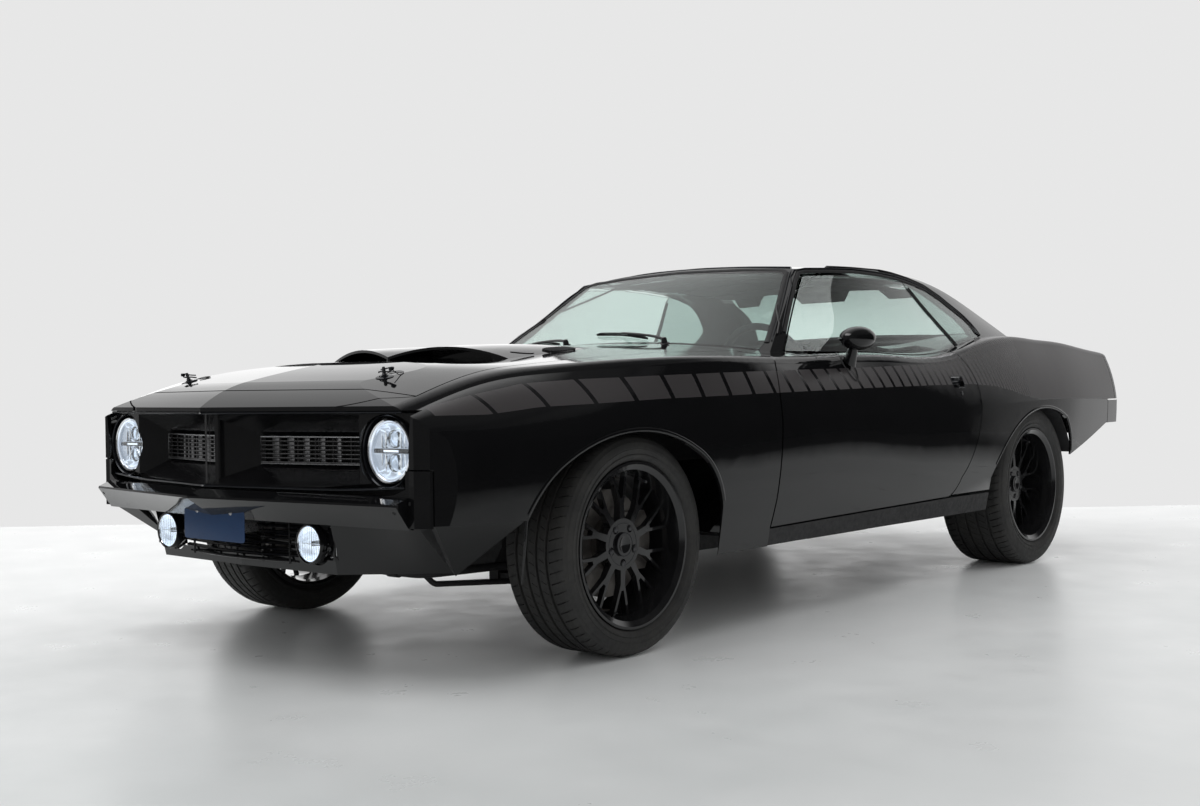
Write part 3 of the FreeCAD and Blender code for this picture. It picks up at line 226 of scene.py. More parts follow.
def paint(name, band=False):
    """Deep gloss black with a trace of polish haze, and on the sides the satin charcoal band."""
    made, tree, shader = new_look(name)
    haze = noise(tree, 5.0, 5.0, 0.7)
    black = mixed(tree, haze, (0.0028, 0.0029, 0.0032), (0.0052, 0.0053, 0.0058))
    rough = spread(tree, haze, 0.3, 0.75, 0.03, 0.065)
    shader.inputs["IOR"].default_value = 1.5
    shader.inputs["Coat Weight"].default_value = 0.0
    if band:
        x, y, z = axes(tree)
        top, low = (curve_of(tree, y, edge, *BAND_SPAN) for edge in (BAND_TOP, BAND_LOW))
        lean = math_node(tree, "MULTIPLY_ADD", math_node(tree, "SUBTRACT", top, z), BREAK_LEAN, y)
        last = len(BREAKS)
        count = [(BAND_SPAN[0], -2.35), *zip(BREAKS, range(last)), (BAND_SPAN[1], last + 40)]
        phase = math_node(tree, "FRACT", curve_of(tree, lean, count, *BAND_SPAN))
        gap = spread(tree, y, -2.0, 1.0, 0.075, 0.30)
        bar = product(tree, math_node(tree, "LESS_THAN", phase, gap),
                      math_node(tree, "LESS_THAN", y, BREAKS[-1]))
        inside = product(tree, math_node(tree, "GREATER_THAN", z, low),
                         math_node(tree, "LESS_THAN", z, top),
                         math_node(tree, "GREATER_THAN", y, BAND_START),
                         math_node(tree, "SUBTRACT", 1.0, bar),
                         math_node(tree, "GREATER_THAN", math_node(tree, "ABSOLUTE", x), BAND_FLANK))
        black = mixed(tree, inside, black, (0.034, 0.031, 0.032))
        rough = mixed(tree, inside, rough, (0.34, 0.34, 0.34))
    socket(tree, shader, "Base Color", black)
    socket(tree, shader, "Roughness", rough)
    bumped(tree, shader, noise(tree, 260.0, 2.0), 0.012, 0.0004)
    made.diffuse_color = (0.005, 0.005, 0.006, 1.0)
    return made


PAINT = paint("gloss_black")
PAINT_BAND = paint("gloss_black_banded", band=True)
SATIN = material("satin_black_trim", (0.010, 0.010, 0.011), 0.32, bump=0.15, grain=1400.0)
RECESS = material("recess_black", (0.004, 0.004, 0.0045), 0.10, rough_to=0.18, patch=3.0, grain=300.0,
                  bump=0.012)
RUBBER = material("seal_rubber", (0.014, 0.014, 0.015), 0.62, bump=0.3, grain=1800.0)
GLOSS_TRIM = material("anodised_black", (0.012, 0.013, 0.016), 0.14, metal=0.6, rough_to=0.24,
                      bump=0.04)
CHROME = material("chrome", (0.78, 0.79, 0.80), 0.05, metal=1.0, rough_to=0.11, bump=0.02, grain=600.0)
STEEL = material("bright_steel", (0.52, 0.52, 0.53), 0.22, metal=1.0, rough_to=0.4, patch=20.0,
                 bump=0.1)
DARK_STEEL = material("dark_steel", (0.09, 0.09, 0.095), 0.38, metal=0.9, patch=14.0, bump=0.2)
UNDER = material("underbody_coat", (0.012, 0.012, 0.013), 0.55, rough_to=0.8, patch=9.0, grain=500.0,
                 bump=0.5, depth=0.0008)
BRAKE = material("brake_iron", (0.16, 0.15, 0.14), 0.34, metal=0.85, patch=18.0, grain=700.0, bump=0.2)
ENGINE = material("engine_iron", (0.035, 0.036, 0.04), 0.45, metal=0.5, patch=12.0, grain=420.0,
                  bump=0.5, depth=0.0006)
EXHAUST = material("exhaust_steel", (0.30, 0.28, 0.26), 0.30, metal=1.0, other=(0.22, 0.17, 0.13),
                   patch=7.0)
TANK = material("tank_steel", (0.14, 0.145, 0.15), 0.45, metal=0.8, patch=8.0, bump=0.25)
VINYL = material("seat_vinyl", (0.016, 0.016, 0.017), 0.42, rough_to=0.58, patch=18.0, grain=620.0,
                 bump=0.5, depth=0.0007)
PLASTIC = material("dash_plastic", (0.014, 0.014, 0.015), 0.48, patch=14.0, grain=850.0, bump=0.45,
                   depth=0.0005)
CARPET = material("carpet", (0.012, 0.012, 0.013), 0.95, patch=30.0, grain=1500.0, bump=1.0,
                  depth=0.002, Sheen_Weight=0.25)
LINING = material("headlining", (0.17, 0.18, 0.175), 0.9, patch=22.0, grain=1600.0, bump=0.6,
                  depth=0.0008)
RIM = material("rim_gloss_black", (0.006, 0.006, 0.0065), 0.10, rough_to=0.17, patch=22.0, bump=0.02,
               coat=0.25, coat_rough=0.04)
TYRE = material("tyre_rubber", (0.018, 0.018, 0.018), 0.55, other=(0.030, 0.029, 0.027), rough_to=0.78,
                patch=9.0, grain=900.0, bump=0.35, depth=0.0005)
GLASS = glass("tinted_glass", (0.93, 0.99, 0.97))
SCREEN = glass("green_screen_glass", (0.48, 0.58, 0.55))
LENS = glass("clear_lens", (0.95, 0.98, 1.0))
TAIL_LENS = material("tail_lens", (0.22, 0.006, 0.008), 0.12, other=(0.15, 0.004, 0.006), patch=40.0,
                     bump=0.1, coat=1.0)
MIRROR = material("mirror_glass", (0.86, 0.88, 0.9), 0.02, metal=1.0, rough_to=0.03, bump=0.0)
PLATE_BLUE = material("plate_blue", (0.0012, 0.028, 0.098), 0.34, other=(0.0016, 0.034, 0.112),
                      patch=12.0, bump=0.05)
WHITE_LED = material("lamp_reflector", (0.80, 0.84, 0.90), 0.10, metal=0.9, rough_to=0.2, patch=60.0,
                     glow=(0.75, 0.85, 1.0, 0.50))

SLOT_LOOKS = {
    "black_paint": PAINT, "grille_black": RECESS, "lamp": CHROME, "tail_lens": TAIL_LENS,
              "window_glass": GLASS,
    "underbody_black": UNDER, "brake_iron": BRAKE, "engine_iron": ENGINE, "exhaust_steel": EXHAUST,
    "tank_steel": TANK, "seat_vinyl": VINYL, "dash_plastic": PLASTIC, "rim_black": RIM,
              "tyre_rubber": TYRE,
}
BANDED = ("front_fender", "door", "quarter_panel")


for node, thing in NODES.items():
    for entry in thing.material_slots:
        look = SLOT_LOOKS[entry.material.name.split(".")[0]]
        if node.endswith(BANDED):
            look = PAINT_BAND
        elif node == "fixed_glass":
            look = SCREEN
        entry.material = look


# ---------------------------------------------------------------- building helpers
def surface(*nodes):
    """Search trees of the named nodes, for laying trim on them."""
    trees = []
    for node in nodes:
        mesh = NODES[node].data
        verts = [v.co.copy() for v in mesh.vertices]
        trees.append(BVHTree.FromPolygons(verts, [tuple(p.vertices) for p in mesh.polygons]))
    return trees


def hit(trees, start, direction, reach=2.0):
    """First point met by a ray, and the outward normal there."""
    best = None
    for tree in trees:
        place, normal, _, far = tree.ray_cast(Vector(start), Vector(direction), reach)
        if place is not None and (best is None or far < best[2]):
            best = (place, normal if normal.dot(Vector(direction)) < 0 else -normal, far)
    return best[:2] if best else None


def smooth_path(points, steps=6, closed=False):
    """Catmull-Rom curve through points."""
    points = [Vector(p) for p in points]
    count = len(points)
    if count < 3:
        return points
    out = []
    for i in range(count if closed else count - 1):
        if closed:
            p0, p1, p2, p3 = (points[(i + k) % count] for k in (-1, 0, 1, 2))
        else:
            p0, p1, p2, p3 = (points[min(max(i + k, 0), count - 1)] for k in (-1, 0, 1, 2))
        for s in range(steps):
            t = s / steps
            out.append(0.5 * ((2 * p1) + (p2 - p0) * t + (2 * p0 - 5 * p1 + 4 * p2 - p3) * t * t
                              + (3 * p1 - p0 - 3 * p2 + p3) * t ** 3))
    if not closed:
        out.append(points[-1])
    return out


def linked(name, data):
    """New object in the scene."""
    thing = bpy.data.objects.new(name, data)
    bpy.context.scene.collection.objects.link(thing)
    return thing


def mesh_of(made, name):
    """Mesh from a bmesh, which is freed."""
    mesh = bpy.data.meshes.new(name)
    made.to_mesh(mesh)
    made.free()
    return mesh


class Piece:
    """A mesh under construction; every shape added goes into one object."""

    def __init__(self, name, body, slot, *looks):
        self.name, self.body, self.slot, self.looks = name, body, slot, looks
        self.bm = bmesh.new()

    def faces(self, verts, faces, look=0):
        made = [self.bm.verts.new(v) for v in verts]
        for face in faces:
            if len(set(face)) > 2:
                try:
                    self.bm.faces.new([made[i] for i in face]).material_index = look
                except ValueError:
                    pass
        return made

    def rings(self, rings, look=0, loop=True, caps=True, around=False):
        """Skin over rings of equal point count; around closes the last ring onto the first."""
        width = len(rings[0])
        verts = [v for ring in rings for v in ring]
        faces = []
        spans = len(rings) if around else len(rings) - 1
        for r in range(spans):
            a, b = r * width, (r + 1) % len(rings) * width
            for k in range(width if loop else width - 1):
                n = (k + 1) % width
                faces.append((a + k, a + n, b + n, b + k))
        if caps and loop and not around:
            faces += [tuple(reversed(range(width))), tuple(range(len(verts) - width, len(verts)))]
        return self.faces(verts, faces, look)

    def lathe(self, profile, at=(0, 0, 0), axis=(1, 0, 0), steps=48, look=0, closed=False):
        """Profile of (along, radius) turned about an axis through at."""
        axis = Vector(axis).normalized()
        side = axis.orthogonal().normalized()
        up = axis.cross(side)
        at = Vector(at)
        rings = []
        for a in turns(steps):
            out = side * math.cos(a) + up * math.sin(a)
            rings.append([at + axis * u + out * r for u, r in profile])
        return self.rings(rings, look, loop=closed, caps=False, around=True)

    def tube(self, points, radius, sides=12, look=0, steps=6, closed=False, smooth=True, flat=1.0,
             up=None):
        """Round or flattened bar along a curve."""
        path = smooth_path(points, steps, closed) if smooth else [Vector(p) for p in points]
        rings = []
        normal = Vector(up).normalized() if up is not None else None
        count = len(path)
        for i, place in enumerate(path):
            if closed:
                ahead = (path[(i + 1) % count] - path[i - 1]).normalized()
            else:
                ahead = (path[min(i + 1, count - 1)] - path[max(i - 1, 0)]).normalized()
            if normal is None:
                normal = ahead.orthogonal().normalized()
            side = ahead.cross(normal).normalized()
            across = side.cross(ahead).normalized()
            if up is None:
                normal = across
            r = radius(i / max(1, count - 1)) if callable(radius) else radius
            rings.append([place + side * r * math.cos(a) + across * r * flat * math.sin(a)
                          for a in turns(sides)])
        return self.rings(rings, look, caps=not closed, around=closed)

    def rod(self, points, radius, sides=12, look=0, **more):
        """Bar with straight runs between its points."""
        return self.tube(points, radius, sides, look, smooth=False, **more)

    def strip(self, points, normals, width, thick, look=0, closed=False, sides=8):
        """Half-round moulding laid along points on a surface with the given normals."""
        rings = []
        count = len(points)
        if count < 2:
            print("strip of", self.name, "has no ground")
            return []
        for i, (place, normal) in enumerate(zip(points, normals)):
            ahead = (points[(i + 1) % count] - points[i - 1]) if closed else \
                (points[min(i + 1, count - 1)] - points[max(i - 1, 0)])
            side = ahead.cross(normal).normalized()
            ring = []
            for k in range(sides):
                a = PI * k / (sides - 1)
                ring.append(place + side * math.cos(a) * width / 2 + normal * math.sin(a) * thick)
            rings.append(ring)
        return self.rings(rings, look, caps=not closed, around=closed)

    def laid_strip(self, trees, rays, width, thick, look=0, sink=0.0006, reach=0.8):
        """Moulding where rays, as starts and one direction, meet a skin."""
        points, normals = laid(trees, *rays, sink, reach)
        self.strip(points, normals, width, thick, look)
        return points, normals

    def block(self, low, high, bevel=0.003, look=0, turn=None, segments=2):
        low, high = Vector(low), Vector(high)
        made = bmesh.ops.create_cube(self.bm, size=1.0)["verts"]
        middle, size = (low + high) / 2, high - low
        for v in made:
            v.co = vec(v.co.x * size.x, v.co.y * size.y, v.co.z * size.z)
        if bevel:
            edges = list({e for v in made for e in v.link_edges})
            made = bmesh.ops.bevel(self.bm, geom=edges, offset=bevel, segments=segments, affect="EDGES",
                                   profile=0.6)["verts"]
        made = list(made)
        for v in made:
            v.co = (turn @ v.co if turn else v.co) + middle
        for face in {f for v in made for f in v.link_faces}:
            face.material_index = look
        return made

    def plate(self, outline, thick, look=0, bevel=0.0):
        """Flat plate: outline of Vectors, thickness as a Vector."""
        top = [Vector(p) + Vector(thick) for p in outline]
        made = self.rings([[Vector(p) for p in outline], top], look)
        if bevel:
            edges = list({e for v in made for e in v.link_edges})
            bmesh.ops.bevel(self.bm, geom=edges, offset=bevel, segments=2, affect="EDGES", profile=0.6)
        return made

    def mesh(self, sharp=32.0):
        """Finished mesh with every look on it, creased where faces turn by more than sharp degrees."""
        bmesh.ops.recalc_face_normals(self.bm, faces=self.bm.faces)
        mesh = mesh_of(self.bm, self.name)
        mesh.shade_smooth()
        mesh.set_sharp_from_angle(angle=math.radians(sharp))
        for look in self.looks:
            mesh.materials.append(look)
        return mesh

    def done(self):
        return place(self.name, self.mesh(), self.body, self.slot)


def place(name, mesh, body, slot, matrix=None):
    thing = linked(name, mesh)
    if matrix is not None:
        thing.matrix_world = matrix
    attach(thing, body)
    return thing


def mirror_mesh(mesh, name):
    """Copy of a mesh reflected to the other side of the car."""
    made = bmesh.new()
    made.from_mesh(mesh)
    for v in made.verts:
        v.co.x = -v.co.x
    bmesh.ops.reverse_faces(made, faces=made.faces)
    out = mesh_of(made, name)
    for look in mesh.materials:
        out.materials.append(look)
    return out


# rays start this far to the side of the car's middle, and this high above its hood
RAY_SIDE, RAY_TOP = 1.3, 1.2


def side_rays(side, path):
    """Level rays from beside the car towards it, one for each (y, z)."""
    return [(side * RAY_SIDE, u, v) for u, v in path], (-side, 0, 0)


def from_above(trees, x, y):
    return hit(trees, (x, y, RAY_TOP), DOWN)


# ---------------------------------------------------------------- studio
# strength of the hall's wall, of its roof and skylight, and of the glow low beside the car
HALL_WALL, HALL_ROOF, HALL_SKYLIGHT, HALL_GLOW = 0.80, 0.10, 1.0, 0.55
# the hall's wall stands behind the car: the way it faces away, and how far from the origin
WALL_WAY = (-0.692, 0.722)
WALL_AT = 3.05
# the floor takes the wall's tone between these distances from the origin
FLOOR_FADE = (5.6, 8.8)
# the painted shade sheet's two ends, as bearings in degrees from the tail round by the left side, and
# how they fade
SHADE_SHEET_FROM, SHADE_SHEET_TO = 20.0, 262.0
SHADE_SHEET_FADE_IN, SHADE_SHEET_FADE_OUT = 10, 16
# bearings between which it thins, and what is left there
SHADE_SHEET_THINS = (100, 150)
SHADE_SHEET_LEFT = 0.88
# its foot on the floor starts at this distance and is full at the next factor times it; the sheet rises
# further out
SHADE_SHEET_FOOT, SHADE_SHEET_FOOT_FULL, SHADE_SHEET_FAR = 4.0, 1.55, 8.9
SHADE_SHEET_TOP = 11.0
SHADE_SHEET_STEPS = 64
# name, place, aim, size and power
LIGHTS = (("key_light", (-1.5, -3.5, 6.0), (0.0, 0.0, 0.6), (5.0, 3.0), 160.0),
          ("fill_light", (3.0, 4.0, 6.5), (0.0, 0.5, 0.6), (6.0, 2.5), 120.0))
# the solved camera: its place, its bearing, pitch and roll in degrees, and its focal length in mm
CAMERA_AT = (3.5465, -4.6455, 0.7981)
CAMERA_TURN = (40.885, -0.551, -0.804)
CAMERA_LENS = 42.19


def hall(scene):
    """Pale walls all round; the roof, seen only in polished surfaces, is dim."""
    scene.view_settings.view_transform = "Standard"
    scene.world = bpy.data.worlds.new("studio")
    scene.world.use_nodes = True
    tree = scene.world.node_tree
    back = tree.nodes["Background"]
    back.inputs["Color"].default_value = WHITE
    x, _, z = axes(tree, "Generated")
    overhead = product(tree, spread(tree, x, -0.50, 0.05, HALL_SKYLIGHT - HALL_WALL,
                                    HALL_ROOF - HALL_WALL),
                       spread(tree, z, 0.42, 0.66, 0.0, 1.0))
    glow = product(tree, spread(tree, x, -0.70, 0.15, HALL_GLOW, 0.0),
                   spread(tree, z, 0.18, 0.36, 1.0, 0.0))
    polished = tree.nodes.new("ShaderNodeLightPath").outputs["Is Glossy Ray"]
    socket(tree, back, "Strength",
           math_node(tree, "MULTIPLY_ADD", math_node(tree, "ADD", overhead, glow), polished, HALL_WALL))


def ground():
    """Pale polished floor with painted light, its colour paler towards the wall behind the car, that
    takes the wall's tone behind the car and far away.
    """
    look = material("pale_floor", (0.52, 0.54, 0.54), 0.26, other=(0.62, 0.63, 0.63), patch=0.5,
                    rough_to=0.40, grain=30.0, bump=0.03, depth=0.002)
    floor = Piece("floor", None, None)
    rays = [[vec(r * math.cos(a), r * math.sin(a), 0.0) for r in (0.01, 3.0, 6.0, 9.0)]
            for a in turns(96)]
    floor.rings(rays, loop=False, caps=False, around=True)
    mesh = mesh_of(floor.bm, "floor")
    mesh.materials.append(look)
    tree = look.node_tree
    shader = tree.nodes["Principled BSDF"]
    x, y, _ = axes(tree)
    depth = math_node(tree, "MULTIPLY_ADD", x, WALL_WAY[0], product(tree, y, WALL_WAY[1]))
    beyond = math_node(tree, "MAXIMUM", math_node(tree, "GREATER_THAN", depth, WALL_AT),
                       spread(tree, flat_radius(tree, x, y), *FLOOR_FADE, 0.0, 1.0))
    nearby = shader.inputs["Base Color"].links[0].from_socket
    # painted light: the floor's colour pales towards the wall, in place of the brighter light that
    # falls on the floor there
    painted_light_toward_wall = mixed(tree, spread(tree, depth, -3.0, WALL_AT, 0.0, 1.0), nearby, (0.86, 0.87, 0.87))
    socket(tree, shader, "Base Color", mixed(tree, beyond, painted_light_toward_wall, (0.0, 0.0, 0.0)))
    socket(tree, shader, "Specular IOR Level", math_node(tree, "MULTIPLY_ADD", beyond, -0.5, 0.5))
    shader.inputs["Emission Color"].default_value = WHITE
    socket(tree, shader, "Emission Strength", product(tree, beyond, HALL_WALL))
    linked("floor", mesh)


def painted_shade_sheet():
    """Painted shade: a tall near-black sheet beside the car, seen only in reflections, keeps its flank
    black in place of the unlit side of the hall.
    """
    made = bmesh.new()
    columns = []
    for k in range(SHADE_SHEET_STEPS + 1):
        a = math.radians(SHADE_SHEET_FROM + (SHADE_SHEET_TO - SHADE_SHEET_FROM) * k / SHADE_SHEET_STEPS)
        columns.append([made.verts.new((far * math.sin(a), far * math.cos(a), z))
                        for far, z in ((SHADE_SHEET_FOOT, 0.02), (SHADE_SHEET_FAR, 0.02),
                                       (SHADE_SHEET_FAR, SHADE_SHEET_TOP))])
    for a, b in zip(columns, columns[1:]):
        for low in (0, 1):
            made.faces.new((a[low], b[low], b[low + 1], a[low + 1]))
    mesh = mesh_of(made, "painted_shade_sheet")
    # painted shade: this near-black look on the sheet stands in for the unlit side of the hall
    cloth = material("painted_shade_black", (0.004, 0.004, 0.0045), 0.9, bump=0.0)
    tree = cloth.node_tree
    x, y, z = axes(tree)
    bearing = math_node(tree, "ADD", PI, math_node(tree, "ARCTAN2", product(tree, x, -1.0),
                                                   product(tree, y, -1.0)))

    def fade(first, last, to_first, to_last):
        return spread(tree, bearing, math.radians(first), math.radians(last), to_first, to_last)

    shade_sheet_foot = spread(tree, flat_radius(tree, x, y), SHADE_SHEET_FOOT, SHADE_SHEET_FOOT * SHADE_SHEET_FOOT_FULL, 0.0, 1.0)
    cover = product(tree, fade(SHADE_SHEET_FROM, SHADE_SHEET_FROM + SHADE_SHEET_FADE_IN, 0.0, 1.0),
                    fade(SHADE_SHEET_TO - SHADE_SHEET_FADE_OUT, SHADE_SHEET_TO, 1.0, 0.0),
                    spread(tree, z, SHADE_SHEET_TOP * 0.55, SHADE_SHEET_TOP, 1.0, 0.0),
                    shade_sheet_foot, fade(*SHADE_SHEET_THINS, 1.0, SHADE_SHEET_LEFT))
    socket(tree, tree.nodes["Principled BSDF"], "Alpha", cover)
    mesh.materials.append(cloth)
    thing = linked("painted_shade_sheet", mesh)
    thing.visible_camera = thing.visible_diffuse = False
    thing.visible_shadow = thing.visible_transmission = False


def lights():
    for name, where, aim, size, power in LIGHTS:
        data = bpy.data.lights.new(name, "AREA")
        data.shape = "RECTANGLE"
        data.size, data.size_y = size
        data.energy = power
        lamp = linked(name, data)
        lamp.location = where
        lamp.visible_glossy = name == "key_light"
        lamp.rotation_euler = (Vector(aim) - Vector(where)).to_track_quat("-Z", "Y").to_euler()


def aimed_camera(scene):
    azimuth, pitch, roll = (math.radians(angle) for angle in CAMERA_TURN)
    look = vec(-math.sin(azimuth) * math.cos(pitch), math.cos(azimuth) * math.cos(pitch),
               math.sin(pitch))
    right = look.cross(Vector(UP)).normalized()
    up = right.cross(look)
    across = right * math.cos(roll) + up * math.sin(roll)
    above = up * math.cos(roll) - right * math.sin(roll)
    scene.camera = linked("camera", bpy.data.cameras.new("camera"))
    scene.camera.matrix_world = (Matrix.Translation(CAMERA_AT)
                                 @ Matrix((across, above, -look)).transposed().to_4x4())
    scene.camera.data.sensor_width = 36.0
    scene.camera.data.lens = CAMERA_LENS
    scene.camera.data.clip_end = 200.0


hall(bpy.context.scene)
ground()
painted_shade_sheet()
lights()
aimed_camera(bpy.context.scene)

# ---------------------------------------------------------------- wheels
RIM_R = 0.238
# wheel, side, centre x, axle y, tyre radius, tyre width, depth of the dish
WHEELS = [
    ("left_front", 1, 0.768, -1.414, 0.332, 0.245, 0.050),
    ("right_front", -1, 0.768, -1.414, 0.332, 0.245, 0.050),
    ("left_rear", 1, 0.773, 1.329, 0.350, 0.295, 0.086),
    ("right_rear", -1, 0.773, 1.329, 0.350, 0.295, 0.086),
]


# depth of the long grooves, of the cuts in shoulder and rib, and how the cuts slant across the tread
GROOVE, SHOULDER_CUT, RIB_CUT = 0.0072, 0.0052, 0.0034
SHOULDER_SLANT, RIB_SLANT = 0.32, -0.55
# the tread band starts where the radius falls short of the tyre's by this
BAND_DROP = 0.0115


def tyre_profile(width, radius):
    """Half profile from bead to tread centre: x, radius, and what may be cut there."""
    half = width / 2
    wall = radius - RIM_R
    side = [(0.0215, 0.0008), (0.0215, 0.0120), (0.0130, 0.0150), (0.0075, 0.0195), (0.0030, 0.0260),
            (0.0012, 0.0300), (0.0012, 0.0335), (0.0034, 0.0352), (0.0016, 0.0420), (0.0006, 0.0500),
            (0.0016, 0.0508), (0.0016, 0.0522), (0.0008, 0.0530), (0.0022, wall - 0.0270),
            (0.0044, wall - 0.0222), (0.0056, wall - 0.0216), (0.0060, wall - 0.0206),
            (0.0070, wall - 0.0190)]
    rows = [(half - x, RIM_R + r, 0) for x, r in side]
    rows += [(half - 0.0110, radius - 0.0120, 2), (half - 0.0150, radius - 0.0085, 2),
             (half - 0.0210, radius - 0.0048, 2), (half - 0.0280, radius - 0.0022, 2)]
    edge = half - 0.034
    rows.append((edge, radius - 0.0008, 2))
    for place, before, cut in ((0.66, 0.80, 2), (0.22, 0.44, 1)):
        groove = edge * place
        rows += [(edge * before, radius - 0.0002, cut), (groove + 0.0100, radius, cut),
                 (groove + 0.0092, radius, 0), (groove + 0.0052, radius, 0),
                 (groove + 0.0042, radius - GROOVE, 0), (groove - 0.0042, radius - GROOVE, 0),
                 (groove - 0.0052, radius, 0), (groove - 0.0092, radius, 0),
                 (groove - 0.0100, radius, 1)]
    return rows


def tyre_mesh(name, width, radius, pitches):
    """Plain turned side walls and a cut tread band between them."""
    half_rows = tyre_profile(width, radius)
    wall = [(x, r) for x, r, cut in half_rows if r < radius - BAND_DROP]
    band = [row for row in half_rows if row[1] >= radius - 0.0125]
    piece = Piece(name, None, None, TYRE)
    for flip in (1, -1):
        piece.lathe([(flip * x, r) for x, r in wall], steps=pitches * 2)
    piece.lathe([(wall[0][0], wall[0][1]), (-wall[0][0], wall[0][1])], steps=pitches * 2)
    rows = band + [(-x, r, cut) for x, r, cut in reversed(band)]
    # places round one pitch: share of the pitch, shoulder cut, rib cut
    places = [(0.0, 0, 0), (0.03, 1, 0), (0.11, 1, 0), (0.14, 0, 0), (0.53, 0, 0), (0.55, 0, 1),
              (0.60, 0, 0)]
    rings = []
    for p in range(pitches):
        for share, shoulder, rib in places:
            ring = []
            for x, r, cut in rows:
                slant = abs(x) * (SHOULDER_SLANT if cut == 2 else RIB_SLANT) / radius
                depth = SHOULDER_CUT if cut == 2 and shoulder else RIB_CUT if cut == 1 and rib else 0.0
                if r < radius - BAND_DROP:
                    depth = 0.0
                elif cut == 2 and r < radius - 0.004:
                    depth *= 0.4
                a = 2 * PI * (p + share) / pitches + (slant if x > 0 else -slant)
                ring.append(vec(x, (r - depth) * math.sin(a), (r - depth) * math.cos(a)))
            rings.append(ring)
    piece.rings(rings, loop=False, caps=False, around=True)
    return piece.mesh(34)


def hub_mesh(name, face):
    """Five wheel nuts in their counterbores, a ring on the centre cap and the tyre valve."""
    piece = Piece(name, None, None, DARK_STEEL, GLOSS_TRIM)
    for k in range(5):
        a = math.radians(36 + 72 * k)
        at = (face, 0.057 * math.sin(a), 0.057 * math.cos(a))
        piece.lathe(pairs(-10, 0,  -10, 10.5,  -3, 10.5,  -1, 9.6,  3, 9.2,  5, 6,  5, 0), at, steps=6)
        piece.lathe(pairs(-9.8, 11.2,  -8.5, 12.5,  -7, 12.5,  -6, 11.2), at, steps=24, closed=True)
    piece.lathe(pairs(7.2, 33.5,  8.6, 34,  8.6, 35.6,  7, 36.2), (face, 0, 0), steps=64, look=1,
                closed=True)
    piece.lathe(pairs(-4, 64,  -2, 65.5,  -0.6, 65.5,  1, 64,  1, 63.2,  -4, 63.2),
                (face - 0.0005, 0, 0), steps=72, look=1, closed=True)
    valve = vec(face + 0.012, 0.206 * math.sin(0.31), 0.206 * math.cos(0.31))
    piece.lathe(pairs(0, 4.5,  12, 4.2,  14, 3,  26, 3,  27, 3.8,  34, 3.8,  35, 0), valve,
                axis=(0.9, -0.05, -0.3), steps=14)
    return piece.mesh(35)


TYRE_MESHES = {0.332: tyre_mesh("front_tyre_tread", 0.245, 0.332, 66),
               0.350: tyre_mesh("rear_tyre_tread", 0.295, 0.350, 70)}
for name, side, x, y, radius, width, dish in WHEELS:
    hub = vec(side * x, y, radius)
    body = name + "_wheel"
    at = Matrix.Translation(hub)
    tread = place(name + "_tread", TYRE_MESHES[radius], body, "tyre_rubber", at)
    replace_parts(tread, name + "_tyre")
    nuts = hub_mesh(name + "_nuts", width / 2 - 0.009 - dish)
    if side < 0:
        nuts = mirror_mesh(nuts, name + "_nuts")
    place(name + "_hub_trim", nuts, body, "rim_black", at)


# ---------------------------------------------------------------- lamps
# centres of the lamps: x on the left side, and height
HEADLAMP_X, HEADLAMP_Z = 0.646, 0.640
DRIVING_X, DRIVING_Z = 0.355, 0.377


def headlamp(side):
    """Round lamp: bright ring, two-storey reflector split by a bar, and projector lenses."""
    name = SIDES[side]
    at = vec(side * HEADLAMP_X, -2.166, HEADLAMP_Z)
    body = Piece(name + "_headlamp", "chassis", "lamp", CHROME, RECESS, WHITE_LED, LENS)
    body.lathe(pairs(20, 90.5,  6, 90.5,  1, 88,  0, 85.5,  2, 82.5,  6, 81.2,  20, 81.2), at, REARWARD,
               96, 0, closed=True)
    body.lathe(pairs(6, 80.8,  4.5, 78,  7, 74.5,  12, 74,  12, 80.8), at, REARWARD, 96, 2,
               closed=True)
    body.lathe(pairs(20, 86,  82, 45,  82, 0,  80, 0,  80, 43,  22, 83),
               at, REARWARD, 64, 1)
    body.lathe(pairs(12, 74.2,  30, 70,  48, 52,  54, 30,  55, 0), at, REARWARD, 64, 2)
    for level in (1, -1):
        spot = at + vec(0, 0.020, level * 0.034)
        body.lathe(pairs(0, 0,  1, 10,  5, 18,  10, 21.5,  30, 22.5,  30, 0),
                   spot, REARWARD, 32, 3)
        body.lathe(pairs(6, 22.5,  2, 24,  4, 26.2,  30, 26.2,  30, 22.5), spot, REARWARD,
                   32, 0, closed=True)
        for x in (-0.0465, -0.0310, 0.0310, 0.0465):
            reach = math.sqrt(0.0660 ** 2 - x * x)
            near, far = sorted((level * 0.008, level * reach))
            body.block(at + vec(x - 0.0016, 0.018, near), at + vec(x + 0.0016, 0.042, far), 0.0008, 0)
    body.block(at + vec(-0.073, 0.012, -0.0065), at + vec(0.073, 0.034, 0.0065), 0.003, 1)
    body.block(at + vec(-0.030, 0.009, -0.0032), at + vec(0.030, 0.016, 0.0032), 0.0015, 2)
    return body.done()


# half the angle that a lamp glass spans, in radians
DOME = 1.1


def lamp_glass(name, at, radius, crown, flutes):
    piece = Piece(name, "chassis", "lamp", LENS)
    profile = [(crown * (1 - math.cos(a)), radius * math.sin(a) / math.sin(DOME))
               for a in [DOME * k / 10 for k in range(11)]]
    front = [(-crown * 0.45 + u, r) for u, r in profile]
    back = [(u + 0.0022, r * 0.99) for u, r in reversed(front)]
    piece.lathe(front + back, at, REARWARD, 72)
    for k in range(flutes):
        x = (k - (flutes - 1) / 2) * radius * 1.8 / flutes
        reach = math.sqrt(max(0.0, (radius * 0.93) ** 2 - x * x))
        piece.tube([at + vec(x, 0.004, -reach), at + vec(x, 0.0025, 0), at + vec(x, 0.004, reach)],
                   0.0013, 6, steps=3)
    return piece.done()


